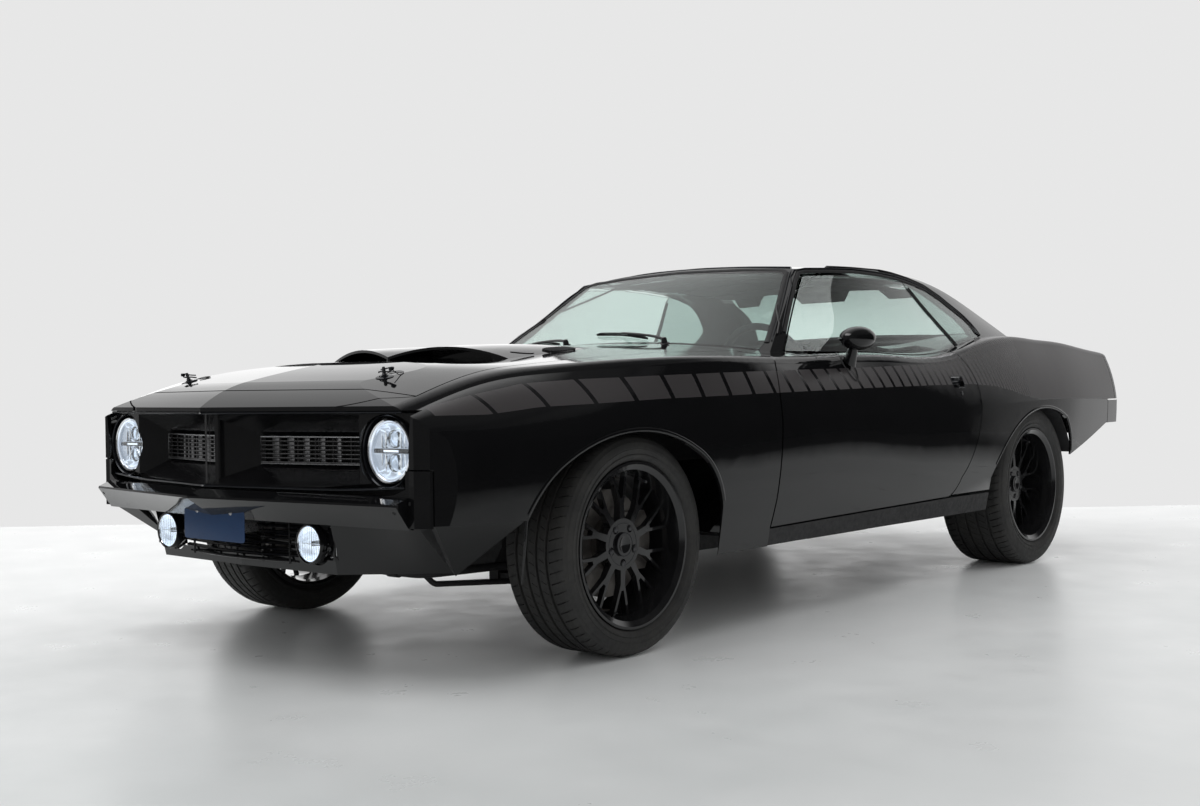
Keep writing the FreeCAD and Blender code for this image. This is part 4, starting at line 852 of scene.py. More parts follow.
def driving_lamp(side):
    """Round spot lamp in a black shell on a flat bracket."""
    name = SIDES[side]
    at = vec(side * DRIVING_X, -2.215, DRIVING_Z)
    body = Piece(name + "_driving_lamp", "chassis", "lamp", CHROME, RECESS, WHITE_LED, LENS)
    body.lathe(pairs(24, 57.2,  5, 57.2,  0.6, 56,  0, 54,  2, 52.4,  24, 52.4),
               at, REARWARD, 72, 1, closed=True)
    body.lathe(pairs(3.5, 52.2,  1.8, 50.5,  4, 48.8,  10, 48.8,  10, 52.2), at, REARWARD, 72, 0,
               closed=True)
    body.lathe(pairs(24, 57,  34, 50,  50, 40,  62, 25,  66, 0,  64, 0,  60, 24,  24, 54), at, REARWARD,
               64, 1)
    body.lathe(pairs(8, 49,  20, 45.5,  36, 33,  44, 12,  45, 0), at, REARWARD, 64, 2)
    body.lathe(pairs(16, 0,  16, 6,  19, 7.5,  32, 7.5,  44, 9), at, REARWARD, 24, 1)
    body.tube([at + vec(-0.046, 0.014, 0), at + vec(0, 0.014, 0), at + vec(0.046, 0.014, 0)], 0.0014, 8,
              0)
    body.tube([at + vec(0, 0.014, -0.046), at + vec(0, 0.014, 0), at + vec(0, 0.014, 0.046)], 0.0010, 8,
              0)
    arm = at + vec(side * 0.052, 0.030, 0)
    body.plate([arm + vec(0, 0, 0.046), arm + vec(side * 0.030, 0, 0.052),
                arm + vec(side * 0.036, 0, -0.030), arm + vec(side * 0.010, 0, -0.038)],
               vec(0, 0.004, 0), 1, 0.001)
    body.lathe(pairs(-6, 0,  -6, 7,  0, 7,  0, 0), arm + vec(side * 0.016, -0.001, -0.012),
               REARWARD, 6, 0)
    return body.done()


LAMP_PIECES = [made(side) for made in (headlamp, driving_lamp) for side in SIDES]
for side, name in SIDES.items():
    LAMP_PIECES.append(lamp_glass(name + "_headlamp_glass", vec(side * HEADLAMP_X, -2.161, HEADLAMP_Z),
                                  0.0790, 0.016, 0))
    LAMP_PIECES.append(lamp_glass(name + "_driving_lamp_glass",
                                  vec(side * DRIVING_X, -2.212, DRIVING_Z), 0.0505, 0.010, 9))
for piece in LAMP_PIECES:
    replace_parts(piece, "front_lamps")


# ---------------------------------------------------------------- nose trim
NOSE_TIP, NOSE_CORNER, NOSE_HALF = -2.321, -2.182, 0.745


def behind_nose(depth, x, z):
    """Point at a depth behind the swept front edge."""
    return vec(x, NOSE_TIP + (NOSE_CORNER - NOSE_TIP) / NOSE_HALF * abs(x) + depth, z)


def nose_trim():
    lip = Piece("grille_lip", "chassis", "grille_black", GLOSS_TRIM)
    for low_z, depth in ((0.534, 0.012), (0.7455, 0.006)):
        lip.tube([behind_nose(depth, x, low_z + (0.010 if low_z < 0.6 and abs(x) > 0.6 else 0.0))
                  for x in (-0.72, -0.5, -0.25, -0.02, 0.02, 0.25, 0.5, 0.72)], 0.0038, 10, steps=4)
    lip.done()
    for side, name in SIDES.items():
        frame_piece = Piece(name + "_grille_frame", "chassis", "grille_black", STEEL, GLOSS_TRIM, STEEL)
        corners = pairs(112, 597,  112, 675,  482, 675,  482, 597)
        frame_piece.rod([behind_nose(0.108, side * x, z) for x, z in corners], 0.0022, 8, 0,
                        closed=True)
        for k in range(7):
            z = 0.600 + 0.0122 * k
            frame_piece.rod([behind_nose(0.1085, side * 0.113, z + 0.0016),
                             behind_nose(0.1085, side * 0.481, z + 0.0016)], 0.0011, 6, 0)
        for x in (0.150, 0.207, 0.265, 0.322, 0.380):
            frame_piece.block(behind_nose(0.128, side * x - 0.016, 0.601),
                              behind_nose(0.130, side * x + 0.016, 0.672), 0.0006, 2)
        housing = vec(side * HEADLAMP_X, -2.171, HEADLAMP_Z)
        frame_piece.lathe(pairs(0, 100.5,  -2, 98.5,  1, 96,  50, 94,  50, 100.5), housing,
                          REARWARD, 96, 1, closed=True)
        frame_piece.done()
    plate = Piece("front_plate", "chassis", "lamp", PLATE_BLUE, STEEL)
    outline = []
    # rounded corners, in turn from the upper left of the car
    for corner, (cx, cz) in enumerate(pairs(150, 456,  -132, 456,  -132, 384,  150, 384)):
        for k in range(5):
            a = math.radians(90 * corner + 22.5 * k)
            outline.append(vec(cx + 0.010 * math.cos(a), -2.288, cz + 0.010 * math.sin(a)))
    plate.plate(outline, vec(0, 0.0016, 0), 0, 0.0004)
    for x in (-0.075, 0.093):
        plate.lathe(pairs(-2.5, 0,  -2.5, 4.5,  0, 6,  0, 0), vec(x, -2.288, 0.4565), REARWARD,
                    16, 1)
    for x in (-0.10, 0.10):
        plate.block((x, -2.286, 0.400), (x + 0.02, -2.200, 0.440), 0.002, 1)
    plate.done()
    bolts = Piece("bumper_bolts", "chassis", "grille_black", RUBBER)
    skin = surface("front_bumper")
    for side in SIDES:
        for x, z in ((0.747, 0.504), (0.724, 0.480)):
            spot = hit(skin, (side * x, -2.6, z), REARWARD)
            if spot:
                bolts.lathe(pairs(-2, 0,  -2, 3.5,  0.6, 5.2,  1.5, 0), spot[0], spot[1], 16)
    bolts.done()


nose_trim()


# ---------------------------------------------------------------- hood trim
def hood_trim():
    skin = surface("hood")
    pins = Piece("hood_pins", "hood", "lamp", GLOSS_TRIM, DARK_STEEL)
    for side in SIDES:
        spot, normal = from_above(skin, side * 0.488, -2.040)
        pins.lathe(pairs(-1, 0,  -1, 27,  1.8, 26,  3.2, 21.5,  3.2, 12,  6, 10.5,  6, 0), spot, normal,
                   40)
        pins.lathe(pairs(5, 7,  10, 7,  11, 5.2,  26, 5,  30, 3.6,  31, 0),
                   spot, normal, 20, 1)
        side_way = vec(side, 0, 0)
        base = spot + normal * 0.016
        pins.tube([base - side_way * 0.034 + vec(0, 0.010, -0.002), base - side_way * 0.020, base,
                   base + side_way * 0.020, base + side_way * 0.034 + vec(0, 0.004, 0.006),
                   base + side_way * 0.026 + vec(0, 0.010, 0.012), base + vec(0, 0.004, 0.008),
                   base - side_way * 0.026 + vec(0, 0.012, 0.006)], 0.0022, 8, 1, steps=5)
        pins.block(base + side_way * 0.030 + vec(-0.006, -0.004, 0.003),
                   base + side_way * 0.030 + vec(0.006, 0.006, 0.013), 0.002, 0)
        lead = [base + side_way * 0.026 + vec(0, 0.010, 0.004)]
        for dx, dy in pairs(30, 30,  12, 60,  -20, 66,  -34, 44,  -20, 26):
            found = from_above(skin, spot.x + side_way.x * dx, spot.y + dy)
            lead.append(found[0] + found[1] * 0.0022)
        pins.tube(lead, 0.0014, 8, 1, steps=6)
    pins.done()
    vents = Piece("hood_vents", "hood", "grille_black", RECESS, RUBBER)
    for side in SIDES:
        # a long teardrop slot and a ribbed extractor behind it, on the scoop's outer flank
        for (x0, y0), (x1, y1), half, ribs in (((0.378, -1.423), (0.396, -1.330), 0.012, 0),
                                               ((0.377, -1.262), (0.352, -1.090), 0.026, 11)):
            top, edge = [], []
            for a in turns(24):
                u, v = 0.5 + 0.5 * math.cos(a), math.sin(a)
                squeeze = 1.0 if ribs else 0.6 + 0.4 * u
                px = x0 + (x1 - x0) * u + v * half * squeeze
                py = y0 + (y1 - y0) * u
                found = from_above(skin, side * px, py)
                edge.append(found[0] - found[1] * 0.0004)
                inner = from_above(skin, side * (px * 0.92 + (x0 + x1) / 2 * 0.08),
                                   py * 0.97 + (y0 + y1) / 2 * 0.03)
                top.append(inner[0] + inner[1] * 0.0022)
            vents.rings([edge, top], 0)
            for r in range(ribs):
                u = (r + 0.8) / (ribs + 0.6)
                py = y0 + (y1 - y0) * u
                px = x0 + (x1 - x0) * u
                reach = half * math.sqrt(max(0.05, 1 - (2 * u - 1) ** 2)) * 0.9
                pts = []
                for t in (-1, -0.5, 0, 0.5, 1):
                    found = from_above(skin, side * (px + t * reach), py + 0.006 * t)
                    pts.append(found[0] + found[1] * 0.003)
                vents.tube(pts, 0.0030, 8, 1, steps=3)
    vents.done()


hood_trim()

# ---------------------------------------------------------------- glass and its seals
SIDE_GLASS = pairs(-400, 905,  -380, 925,  -200, 1075,  -40, 1209,  -6, 1233,  40, 1241,  160, 1246.5,
                   330, 1252,  500, 1248.5,  640, 1240,  760, 1223.5,  872, 1200,  970, 1157,
                   1056, 1098,  1076, 1078,  1082, 1060,  1079, 1040,  1071, 1022)
SCREEN_GLASS = pairs(672, 955,  514, 1236,  497, 1243,  480, 1247,  320, 1257,  0, 1266,  -320, 1257,
                     -480, 1247,  -497, 1243,  -514, 1236,  -672, 955)
BACK_GLASS = pairs(640, 1034,  545, 1215,  532, 1229,  515, 1238,  300, 1247,  0, 1252,  -300, 1247,
                   -515, 1238,  -532, 1229,  -545, 1215,  -640, 1034)
CHASSIS_SKIN = surface("roof", "left_quarter_panel", "right_quarter_panel", "rear_deck", "cowl")


def offset_path(points, away):
    """Flat outline of pairs moved sideways to its left by away."""
    out = []
    for i, (u, v) in enumerate(points):
        u0, v0 = points[max(i - 1, 0)]
        u1, v1 = points[min(i + 1, len(points) - 1)]
        span = math.hypot(u1 - u0, v1 - v0)
        out.append((u - (v1 - v0) / span * away, v + (u1 - u0) / span * away))
    return out


# a point counts as stray when its nearer neighbour is further than the first, or its farther one
# than the second
STRAY_NEAR, STRAY_FAR = 0.12, 0.35


def laid(trees, starts, direction, sink=0.0, reach=0.8):
    """Points and normals where rays meet a skin; a ray that misses is left out."""
    found = [f for f in (hit(trees, start, direction, reach) for start in starts) if f]
    kept = []
    # a ray that slipped past an edge lands far from its neighbours in the row
    for i, f in enumerate(found):
        near = [(f[0] - found[k][0]).length for k in (i - 1, i + 1) if 0 <= k < len(found)]
        if near and min(near) < STRAY_NEAR and max(near) < STRAY_FAR:
            kept.append(f)
    return [place - normal * sink for place, normal in kept], [normal for _, normal in kept]


def fill(points, gap=0.02):
    """Pairs with more pairs between them, at most gap apart."""
    out = []
    for (u0, v0), (u1, v1) in zip(points, points[1:]):
        count = max(1, int(math.hypot(u1 - u0, v1 - v0) / gap))
        out += [(u0 + (u1 - u0) * k / count, v0 + (v1 - v0) * k / count) for k in range(count)]
    return out + [points[-1]]


def side_seals(side):
    name = SIDES[side]
    seals = Piece(name + "_window_seal", "chassis", "window_glass", RUBBER, GLOSS_TRIM, PAINT)
    # rubber, bright strip and painted gutter, each further out
    for away, width, thick, look in ((0.007, 0.017, 0.0050, 0), (0.018, 0.005, 0.0062, 1),
                                     (0.030, 0.010, 0.0085, 2)):
        # along the doors' own belt there is no seal on the body
        path = [(u, v) for u, v in fill(offset_path(SIDE_GLASS, away)) if v > 0.985 or u > 0.9]
        seals.laid_strip(CHASSIS_SKIN, side_rays(side, path), width, thick, look)
    path = fill(pairs(698.5, 1206,  745, 1087,  790, 960,  798, 934))
    points, normals = seals.laid_strip(surface("fixed_glass"), side_rays(side, path), 0.017, 0.0070, 0,
                                       0.0004)
    seals.strip([p + n * 0.0066 for p, n in zip(points, normals)], normals, 0.0045, 0.0015, 1)
    return seals.done()


def screen_seals():
    for name, outline, start, ahead in (("windshield_seal", SCREEN_GLASS, -2.0, 1),
                                        ("rear_window_seal", BACK_GLASS, 3.0, -1)):
        seals = Piece(name, "chassis", "window_glass", RUBBER, GLOSS_TRIM)
        for away, width, thick, look in ((-0.008, 0.020, 0.0045, 0), (-0.021, 0.006, 0.0060, 1)):
            starts = [(u, start, v) for u, v in fill(offset_path(outline, away))]
            seals.laid_strip(CHASSIS_SKIN, (starts, (0, ahead, 0)), width, thick, look, reach=2.5)
        seals.done()


# the search for the belt starts at this height; a ray reaches this far, and the skin must face out
# at least this much
BELT_TOP, BELT_REACH, BELT_FACING = 1.020, 0.62, 0.35
# the rail lies this far under that edge
BELT_DROP = 0.004


def belt(node, side, starts):
    """Outer belt line of a panel: the highest skin point that a level ray meets at each y."""
    tree = surface(node)
    points, normals = [], []
    for y in starts:
        for step in range(60):
            found = hit(tree, (side * RAY_SIDE, y, BELT_TOP - 0.002 * step), (-side, 0, 0), BELT_REACH)
            if found and abs(found[1].x) > BELT_FACING:
                lower = hit(tree, (side * RAY_SIDE, y, found[0].z - BELT_DROP), (-side, 0, 0),
                            BELT_REACH)
                if lower:
                    points.append(lower[0])
                    normals.append(lower[1])
                break
    return points, normals


for side, name in SIDES.items():
    side_seals(side)
    door = name + "_door"
    rail = Piece(door + "_belt", door, "lamp", STEEL, RUBBER)
    points, normals = belt(door, side, [-0.36 + 0.02 * k for k in range(53)])
    rail.strip(points, normals, 0.0060, 0.0030, 0)
    rail.done()
screen_seals()


# ---------------------------------------------------------------- wipers
def wiper(name, pivot_x, blade, bend):
    """Arm from its spindle on the cowl and a bridged blade lying on the glass."""
    glass = surface("fixed_glass")
    ends = []
    for x, z in blade:
        place, normal = hit(glass, (x, -2.0, z), REARWARD, 3.0)
        ends.append(place + normal * 0.006)
    normal = hit(glass, (blade[1][0], -2.0, blade[1][1]), REARWARD, 3.0)[1]
    arm = Piece(name, "chassis", "grille_black", SATIN, RUBBER)
    arm.tube(ends, 0.0028, 8, 1, steps=8, flat=1.6, up=normal)
    raised = [p + normal * 0.008 for p in ends]
    arm.tube([ends[0] + normal * 0.002, raised[0].lerp(raised[1], 0.25), raised[1],
              raised[1].lerp(raised[2], 0.75), ends[2] + normal * 0.002], 0.0026, 8, 0, steps=6)
    for k in (0.12, 0.38, 0.62, 0.88):
        at = (ends[0].lerp(ends[1], k * 2) if k < 0.5 else ends[1].lerp(ends[2], k * 2 - 1))
        arm.rod([at, at + normal * 0.007], 0.0022, 6, 0)
    spindle = hit(surface("cowl"), (pivot_x, -0.560, 1.4), DOWN)[0]
    arm.lathe(pairs(0, 18,  4, 17,  6, 12,  20, 10.5,  26, 8,  27, 0),
              spindle, (0, -0.3, 1), 24)
    top = spindle + vec(0, -0.004, 0.018)
    middle = raised[1]
    arm.tube([top, top.lerp(middle, 0.25) + vec(0, 0, bend), top.lerp(middle, 0.7) + normal * 0.006,
              middle + normal * 0.002], lambda t: 0.0062 - 0.0030 * t, 10, 0, steps=6)
    return arm.done()


wiper("left_wiper", 0.330, pairs(-90, 1008,  50, 1002,  190, 984), 0.006)
wiper("right_wiper", -0.160, pairs(-600, 971,  -430, 976,  -260, 977), 0.006)


# ---------------------------------------------------------------- door furniture
def door_furniture(side):
    name = SIDES[side]
    door = name + "_door"
    tree = surface(door)
    handle = Piece(door + "_handle", door, "black_paint", GLOSS_TRIM, RECESS, STEEL)
    rim = pairs(540, 786,  534, 824,  540, 832,  618, 834,  629, 828,  633, 794,  626, 786)
    points, normals = laid(tree, *side_rays(side, fill(rim + rim[:1], 0.012)), 0.0004)
    handle.strip(points[:-1], normals[:-1], 0.0050, 0.0016, 0, closed=True)
    rows = []
    for t in [k / 6 for k in range(7)]:
        bow = 0.0040 * math.sin(PI * t)
        row = []
        for u in (0.543, 0.548, 0.565, 0.583, 0.601, 0.615, 0.620):
            edge = 0.0025 if u in (0.543, 0.620) else 0.0
            row.append(vec(side * (0.9195 + bow - edge - 0.004 * (1 - t)), u + 0.002 * t,
                           0.8010 + 0.0250 * t))
        rows.append(row)
    handle.rings(rows, 0, loop=False, caps=False)
    back = [[vec(p.x - side * 0.003, p.y, p.z) for p in row] for row in rows]
    handle.rings(back, 1, loop=False, caps=False)
    handle.tube(sided(side, 918, 544, 800,  921.5, 582, 798.5,  918, 621, 800), 0.0028, 8, 0)
    handle.rod(sided(side, 918, 543, 827.5,  918, 620, 828.5), 0.0022, 8, 2)
    handle.lathe(pairs(-2, 0,  -2, 6.2,  1.2, 6.2,  2.2, 4.8,  1.6, 3,  1.6, 0),
                 (side * 0.9188, 0.606, 0.7925), (side, 0, 0), 20, 2)
    handle.done()
    lock, facing = hit(tree, (side * RAY_SIDE, 0.592, 0.762), (-side, 0, 0))
    barrel = Piece(door + "_lock", door, "black_paint", GLOSS_TRIM, DARK_STEEL)
    barrel.lathe(pairs(-1, 10,  1.2, 9.8,  1.8, 8.5,  1.8, 7), lock, facing, 32)
    barrel.lathe(pairs(1.6, 7,  2, 0,  0, 0), lock, facing, 32, 1)
    barrel.done()


for side in SIDES:
    door_furniture(side)


def mirror_parts():
    """Glass and bezel in the rear of the door mirror, and the gasket under its foot."""
    parts = Piece("left_mirror_glass", "left_door", "lamp", MIRROR, GLOSS_TRIM, RUBBER)
    centre = vec(0.938, -0.1785, 0.969)

    def oval(scale, u):
        return [centre + vec(0.0505 * scale * math.cos(a), u, 0.0365 * scale * math.sin(a))
                for a in turns(64)]

    steps = ((-0.010, 0.985), (0.0012, 0.985), (0.0018, 0.965), (0.0006, 0.935), (-0.0060, 0.915))
    parts.rings([oval(scale, u) for u, scale in steps], 1, caps=False)
    face = [oval(s, -0.0045 + 0.0015 * (1 - s)) for s in (0.925, 0.6, 0.3, 0.02)]
    parts.rings(face, 0, caps=True)
    tree = surface("left_door")
    points, normals = [], []
    for a in turns(28):
        found = hit(tree, (0.884 + 0.030 * math.cos(a), -0.182 + 0.031 * math.sin(a), 1.3), DOWN)
        if found:
            points.append(found[0])
            normals.append(found[1])
    parts.strip(points, normals, 0.007, 0.0028, 2, closed=True)
    parts.done()


mirror_parts()

# ---------------------------------------------------------------- seats
def rounded_form(name, outline, x0, x1, radius, step):
    """Closed pad: a side outline (y, z) swept across, with its edges rounded in."""
    edge = [PI / 2 * k / 6 for k in range(7)]
    widths = [(x0 + radius * (1 - math.cos(a)), radius * (1 - math.sin(a))) for a in edge]
    count = max(2, int((x1 - x0 - 2 * radius) / step))
    stations = widths + [(x0 + radius + (x1 - x0 - 2 * radius) * k / count, 0.0)
                         for k in range(1, count)]
    stations += [(x0 + x1 - x, inset) for x, inset in reversed(widths)]
    middle = vec(sum(y for y, _ in outline) / len(outline), sum(z for _, z in outline) / len(outline))
    rings = []
    for x, inset in stations:
        rings.append([])
        for y, z in outline:
            out = vec(y, z) - middle
            rings[-1].append((x, *(middle + out * (1 - inset / max(out.length, inset + 0.01)))))
    form = Piece(name, None, None)
    form.rings(rings)
    bmesh.ops.recalc_face_normals(form.bm, faces=form.bm.faces)
    return mesh_of(form.bm, name)


def soft_outline(points, steps=5):
    return [(p.x, p.y) for p in smooth_path([vec(u, v, 0) for u, v in points], steps, closed=True)]


def settled(thing):
    """Mesh of an object with its modifiers applied; the object goes."""
    view = bpy.context.evaluated_depsgraph_get()
    mesh = bpy.data.meshes.new_from_object(thing.evaluated_get(view))
    bpy.data.objects.remove(thing)
    return mesh


CLOTH_FRAMES = 20


def stuffed(name, mesh, voxel, cap, shrink=0.008):
    """Cloth swollen from inside; no point moves further than cap."""
    thing = linked(name, mesh)
    change = thing.modifiers.new("remesh", "REMESH")
    change.mode, change.voxel_size = "VOXEL", voxel
    rest = settled(thing)
    for v in rest.vertices:
        v.co -= v.normal * shrink
    start = [v.co.copy() for v in rest.vertices]
    thing = linked(name, rest)
    cloth = thing.modifiers.new("cloth", "CLOTH").settings
    cloth.use_pressure = True
    cloth.uniform_pressure_force = 4.0
    cloth.effector_weights.gravity = 0.0
    cloth.quality = 5
    cloth.mass = 0.3
    cloth.tension_stiffness = cloth.compression_stiffness = 12.0
    cloth.bending_stiffness = 0.8
    scene = bpy.context.scene
    for step in range(1, CLOTH_FRAMES + 1):
        scene.frame_set(step)
    swollen = settled(thing)
    scene.frame_set(1)
    for v, origin in zip(swollen.vertices, start):
        move = v.co - origin
        if move.length > cap:
            v.co = origin + move * (cap / move.length)
    return swollen


def sewn(name, mesh, valleys, look):
    """One subdivision, then seams pressed in. valleys gives the depth at a point with its normal."""
    thing = linked(name, mesh)
    finer = thing.modifiers.new("finer", "SUBSURF")
    finer.levels = finer.render_levels = 1
    made = settled(thing)
    normals = [v.normal.copy() for v in made.vertices]
    for v, normal in zip(made.vertices, normals):
        v.co -= normal * valleys(v.co, normal)
    made.materials.clear()
    made.materials.append(look)
    made.shade_smooth()
    return made


def groove(distance, width, depth):
    return depth * math.exp(-(distance / width) ** 2)


def channels(value, pitch, width, depth):
    """Depth of the nearest of a row of seams spaced by pitch about zero."""
    return groove(value - pitch * round(value / pitch), width, depth)


SEAT_X = 0.388
CUSHION_SIDE = soft_outline(pairs(74, 350,  66, 400,  68, 462,  86, 494,  130, 503,  300, 484,
                                  440, 468,  494, 456,  512, 420,  518, 360,  480, 340,  300, 338,
                                  120, 338))
BACK_SIDE = soft_outline(pairs(552, 372,  524, 440,  520, 480,  566, 610,  620, 762,  676, 916,
                               694, 938,  712, 942,  724, 926,  714, 870,  668, 680,  612, 450,
                               594, 392))


# a seam runs over faces that look at least this much the sewn way
SEWN_WAY = 0.35
# spacing, width and depth of the sewn channels
CHANNELS = (0.0550, 0.0060, 0.0052)
BENCH_CHANNELS = (0.0550, 0.0062, 0.0050)


def cushion_seams(at, normal):
    x, y = at.x, at.y
    depth = 0.0
    if normal.z > SEWN_WAY:
        if abs(x) < 0.150 and 0.120 < y < 0.475:
            depth += channels(y - 0.1475, *CHANNELS)
        edge_x = groove(abs(x) - 0.150, 0.0055, 0.0070) if y > 0.112 else 0.0
        edge_y = groove(y - 0.118, 0.0055, 0.0060) if abs(x) < 0.155 else 0.0
        bolster = 0.010 if abs(x) > 0.165 and y > 0.13 else 0.0
        depth += max(edge_x, edge_y) - bolster * min(1, (abs(x) - 0.165) / 0.03)
    depth += groove(at.z - 0.392, 0.0045, 0.0050)
    return depth


def back_seams(at, normal):
    x, z = at.x, at.z
    depth = 0.0
    if normal.y < -SEWN_WAY:
        if abs(x) < 0.140 and 0.470 < z < 0.745:
            depth += channels(z - 0.4975, *CHANNELS)
        edge_x = groove(abs(x) - 0.140, 0.0055, 0.0070) if z < 0.752 else 0.0
        edge_z = groove(z - 0.748, 0.0055, 0.0070) if abs(x) < 0.225 else 0.0
        depth += max(edge_x, edge_z)
    if normal.y > 0.2:
        depth += groove(abs(x) - 0.205, 0.0050, 0.0050)
    depth += groove(abs(x) - 0.236, 0.0040, 0.0035) if abs(normal.x) < 0.9 else 0.0
    return depth


def front_seats():
    cushion = rounded_form("cushion_core", CUSHION_SIDE, -0.232, 0.232, 0.045, 0.03)
    cushion = stuffed("cushion_core", cushion, 0.009, 0.022)
    back_mesh = rounded_form("back_core", BACK_SIDE, -0.232, 0.232, 0.050, 0.03)
    for v in back_mesh.vertices:
        # shoulders narrow towards the head
        rise = max(0.0, (v.co.z - 0.70) / 0.245)
        v.co.x *= 1 - 0.30 * rise * rise
    back = stuffed("back_core", back_mesh, 0.009, 0.022)
    cushion = sewn("seat_cushion_pad", cushion, cushion_seams, VINYL)
    back = sewn("seat_back_pad", back, back_seams, VINYL)
    for side, name in SIDES.items():
        at = Matrix.Translation((side * SEAT_X, 0, 0))
        low = place(name + "_seat_cushion", cushion, "chassis", "seat_vinyl", at)
        high = place(name + "_seat_back", back, "chassis", "seat_vinyl", at)
        for pad in (low, high):
            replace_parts(pad, "front_seats")
        hard = Piece(name + "_seat_frame", "chassis", "dash_plastic", PLASTIC, DARK_STEEL, CHROME)
        x = side * SEAT_X
        hard.block((x - 0.205, 0.085, 0.318), (x + 0.205, 0.500, 0.338), 0.008, 0)
        for lane in (-0.165, 0.165):
            hard.block((x + lane - 0.016, 0.100, 0.287), (x + lane + 0.016, 0.490, 0.300), 0.003, 1)
            hard.block((x + lane - 0.011, 0.085, 0.300), (x + lane + 0.011, 0.515, 0.319), 0.003, 1)
        hard.tube([(x - 0.150, 0.105, 0.312), (x - 0.150, 0.075, 0.300), (x + 0.150, 0.075, 0.300),
                   (x + 0.150, 0.105, 0.312)], 0.005, 10, 2, steps=4)
        for edge in (-1, 1):
            px = x + edge * 0.224
            hinge = pairs(488, 345,  500, 405,  545, 470,  585, 462,  560, 350)
            hard.plate([(px, y, z) for y, z in hinge], (edge * 0.010, 0, 0), 0, 0.003)
            hard.lathe(pairs(0, 0,  0, 18,  6, 17,  9, 10,  9, 0),
                       (px + edge * 0.009, 0.538, 0.402), (edge, 0, 0), 24, 2)
        hard.block((x - 0.015, 0.706, 0.760), (x + 0.015, 0.716, 0.790), 0.004, 2)
        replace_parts(hard.done(), "front_seats")


BENCH_SIDE = soft_outline(pairs(892, 400,  890, 470,  898, 505,  936, 522,  1040, 548,  1130, 566,
                                1168, 560,  1176, 540,  1090, 545,  1030, 510,  960, 440,  915, 392))
BENCH_BACK = soft_outline(pairs(1186, 560,  1188, 600,  1232, 700,  1290, 830,  1330, 914,  1350, 938,
                                1374, 940,  1388, 918,  1376, 850,  1336, 680,  1308, 570,  1280, 550,
                                1220, 548))


def bench_cushion_seams(at, normal):
    depth = 0.0
    if normal.z > SEWN_WAY:
        lane = abs(at.x) - 0.290
        if abs(lane) < 0.190 and at.y > 0.930:
            depth += channels(lane, *BENCH_CHANNELS)
        depth += max(groove(abs(lane) - 0.200, 0.006, 0.0070), groove(at.y - 0.925, 0.006, 0.0060))
    if normal.y < -0.6:
        depth += groove(at.z - 0.455, 0.0050, 0.0050)
    return depth


def bench_back_seams(at, normal):
    depth = 0.0
    if normal.y < -SEWN_WAY:
        lane = abs(at.x) - 0.290
        if abs(lane) < 0.190 and at.z < 0.850:
            depth += channels(lane, *BENCH_CHANNELS)
        depth += max(groove(abs(lane) - 0.200, 0.006, 0.0070) if at.z < 0.858 else 0.0,
                     groove(at.z - 0.855, 0.006, 0.0070))
    return depth


def rear_seat():
    for name, side, seams in (("rear_seat_cushion", BENCH_SIDE, bench_cushion_seams),
                              ("rear_seat_back", BENCH_BACK, bench_back_seams)):
        core = rounded_form(name + "_core", side, -0.552, 0.552, 0.030, 0.04)
        core = stuffed(name + "_core", core, 0.011, 0.016, 0.004)
        pad = place(name, sewn(name, core, seams, VINYL), "chassis", "seat_vinyl")
        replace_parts(pad, "rear_seat")
    base = Piece("rear_seat_base", "chassis", "dash_plastic", PLASTIC, CARPET)
    for side in SIDES:
        x0, x1 = sorted((side * 0.128, side * 0.545))
        base.block((x0, 0.905, 0.360), (x1, 0.945, 0.410), 0.006, 0)
        base.block((x0, 0.950, 0.405), (x1, 1.010, 0.470), 0.006, 0)
    base.block((-0.545, 1.100, 0.540), (0.545, 1.200, 0.552), 0.004, 1)
    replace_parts(base.done(), "rear_seat")


front_seats()
rear_seat()


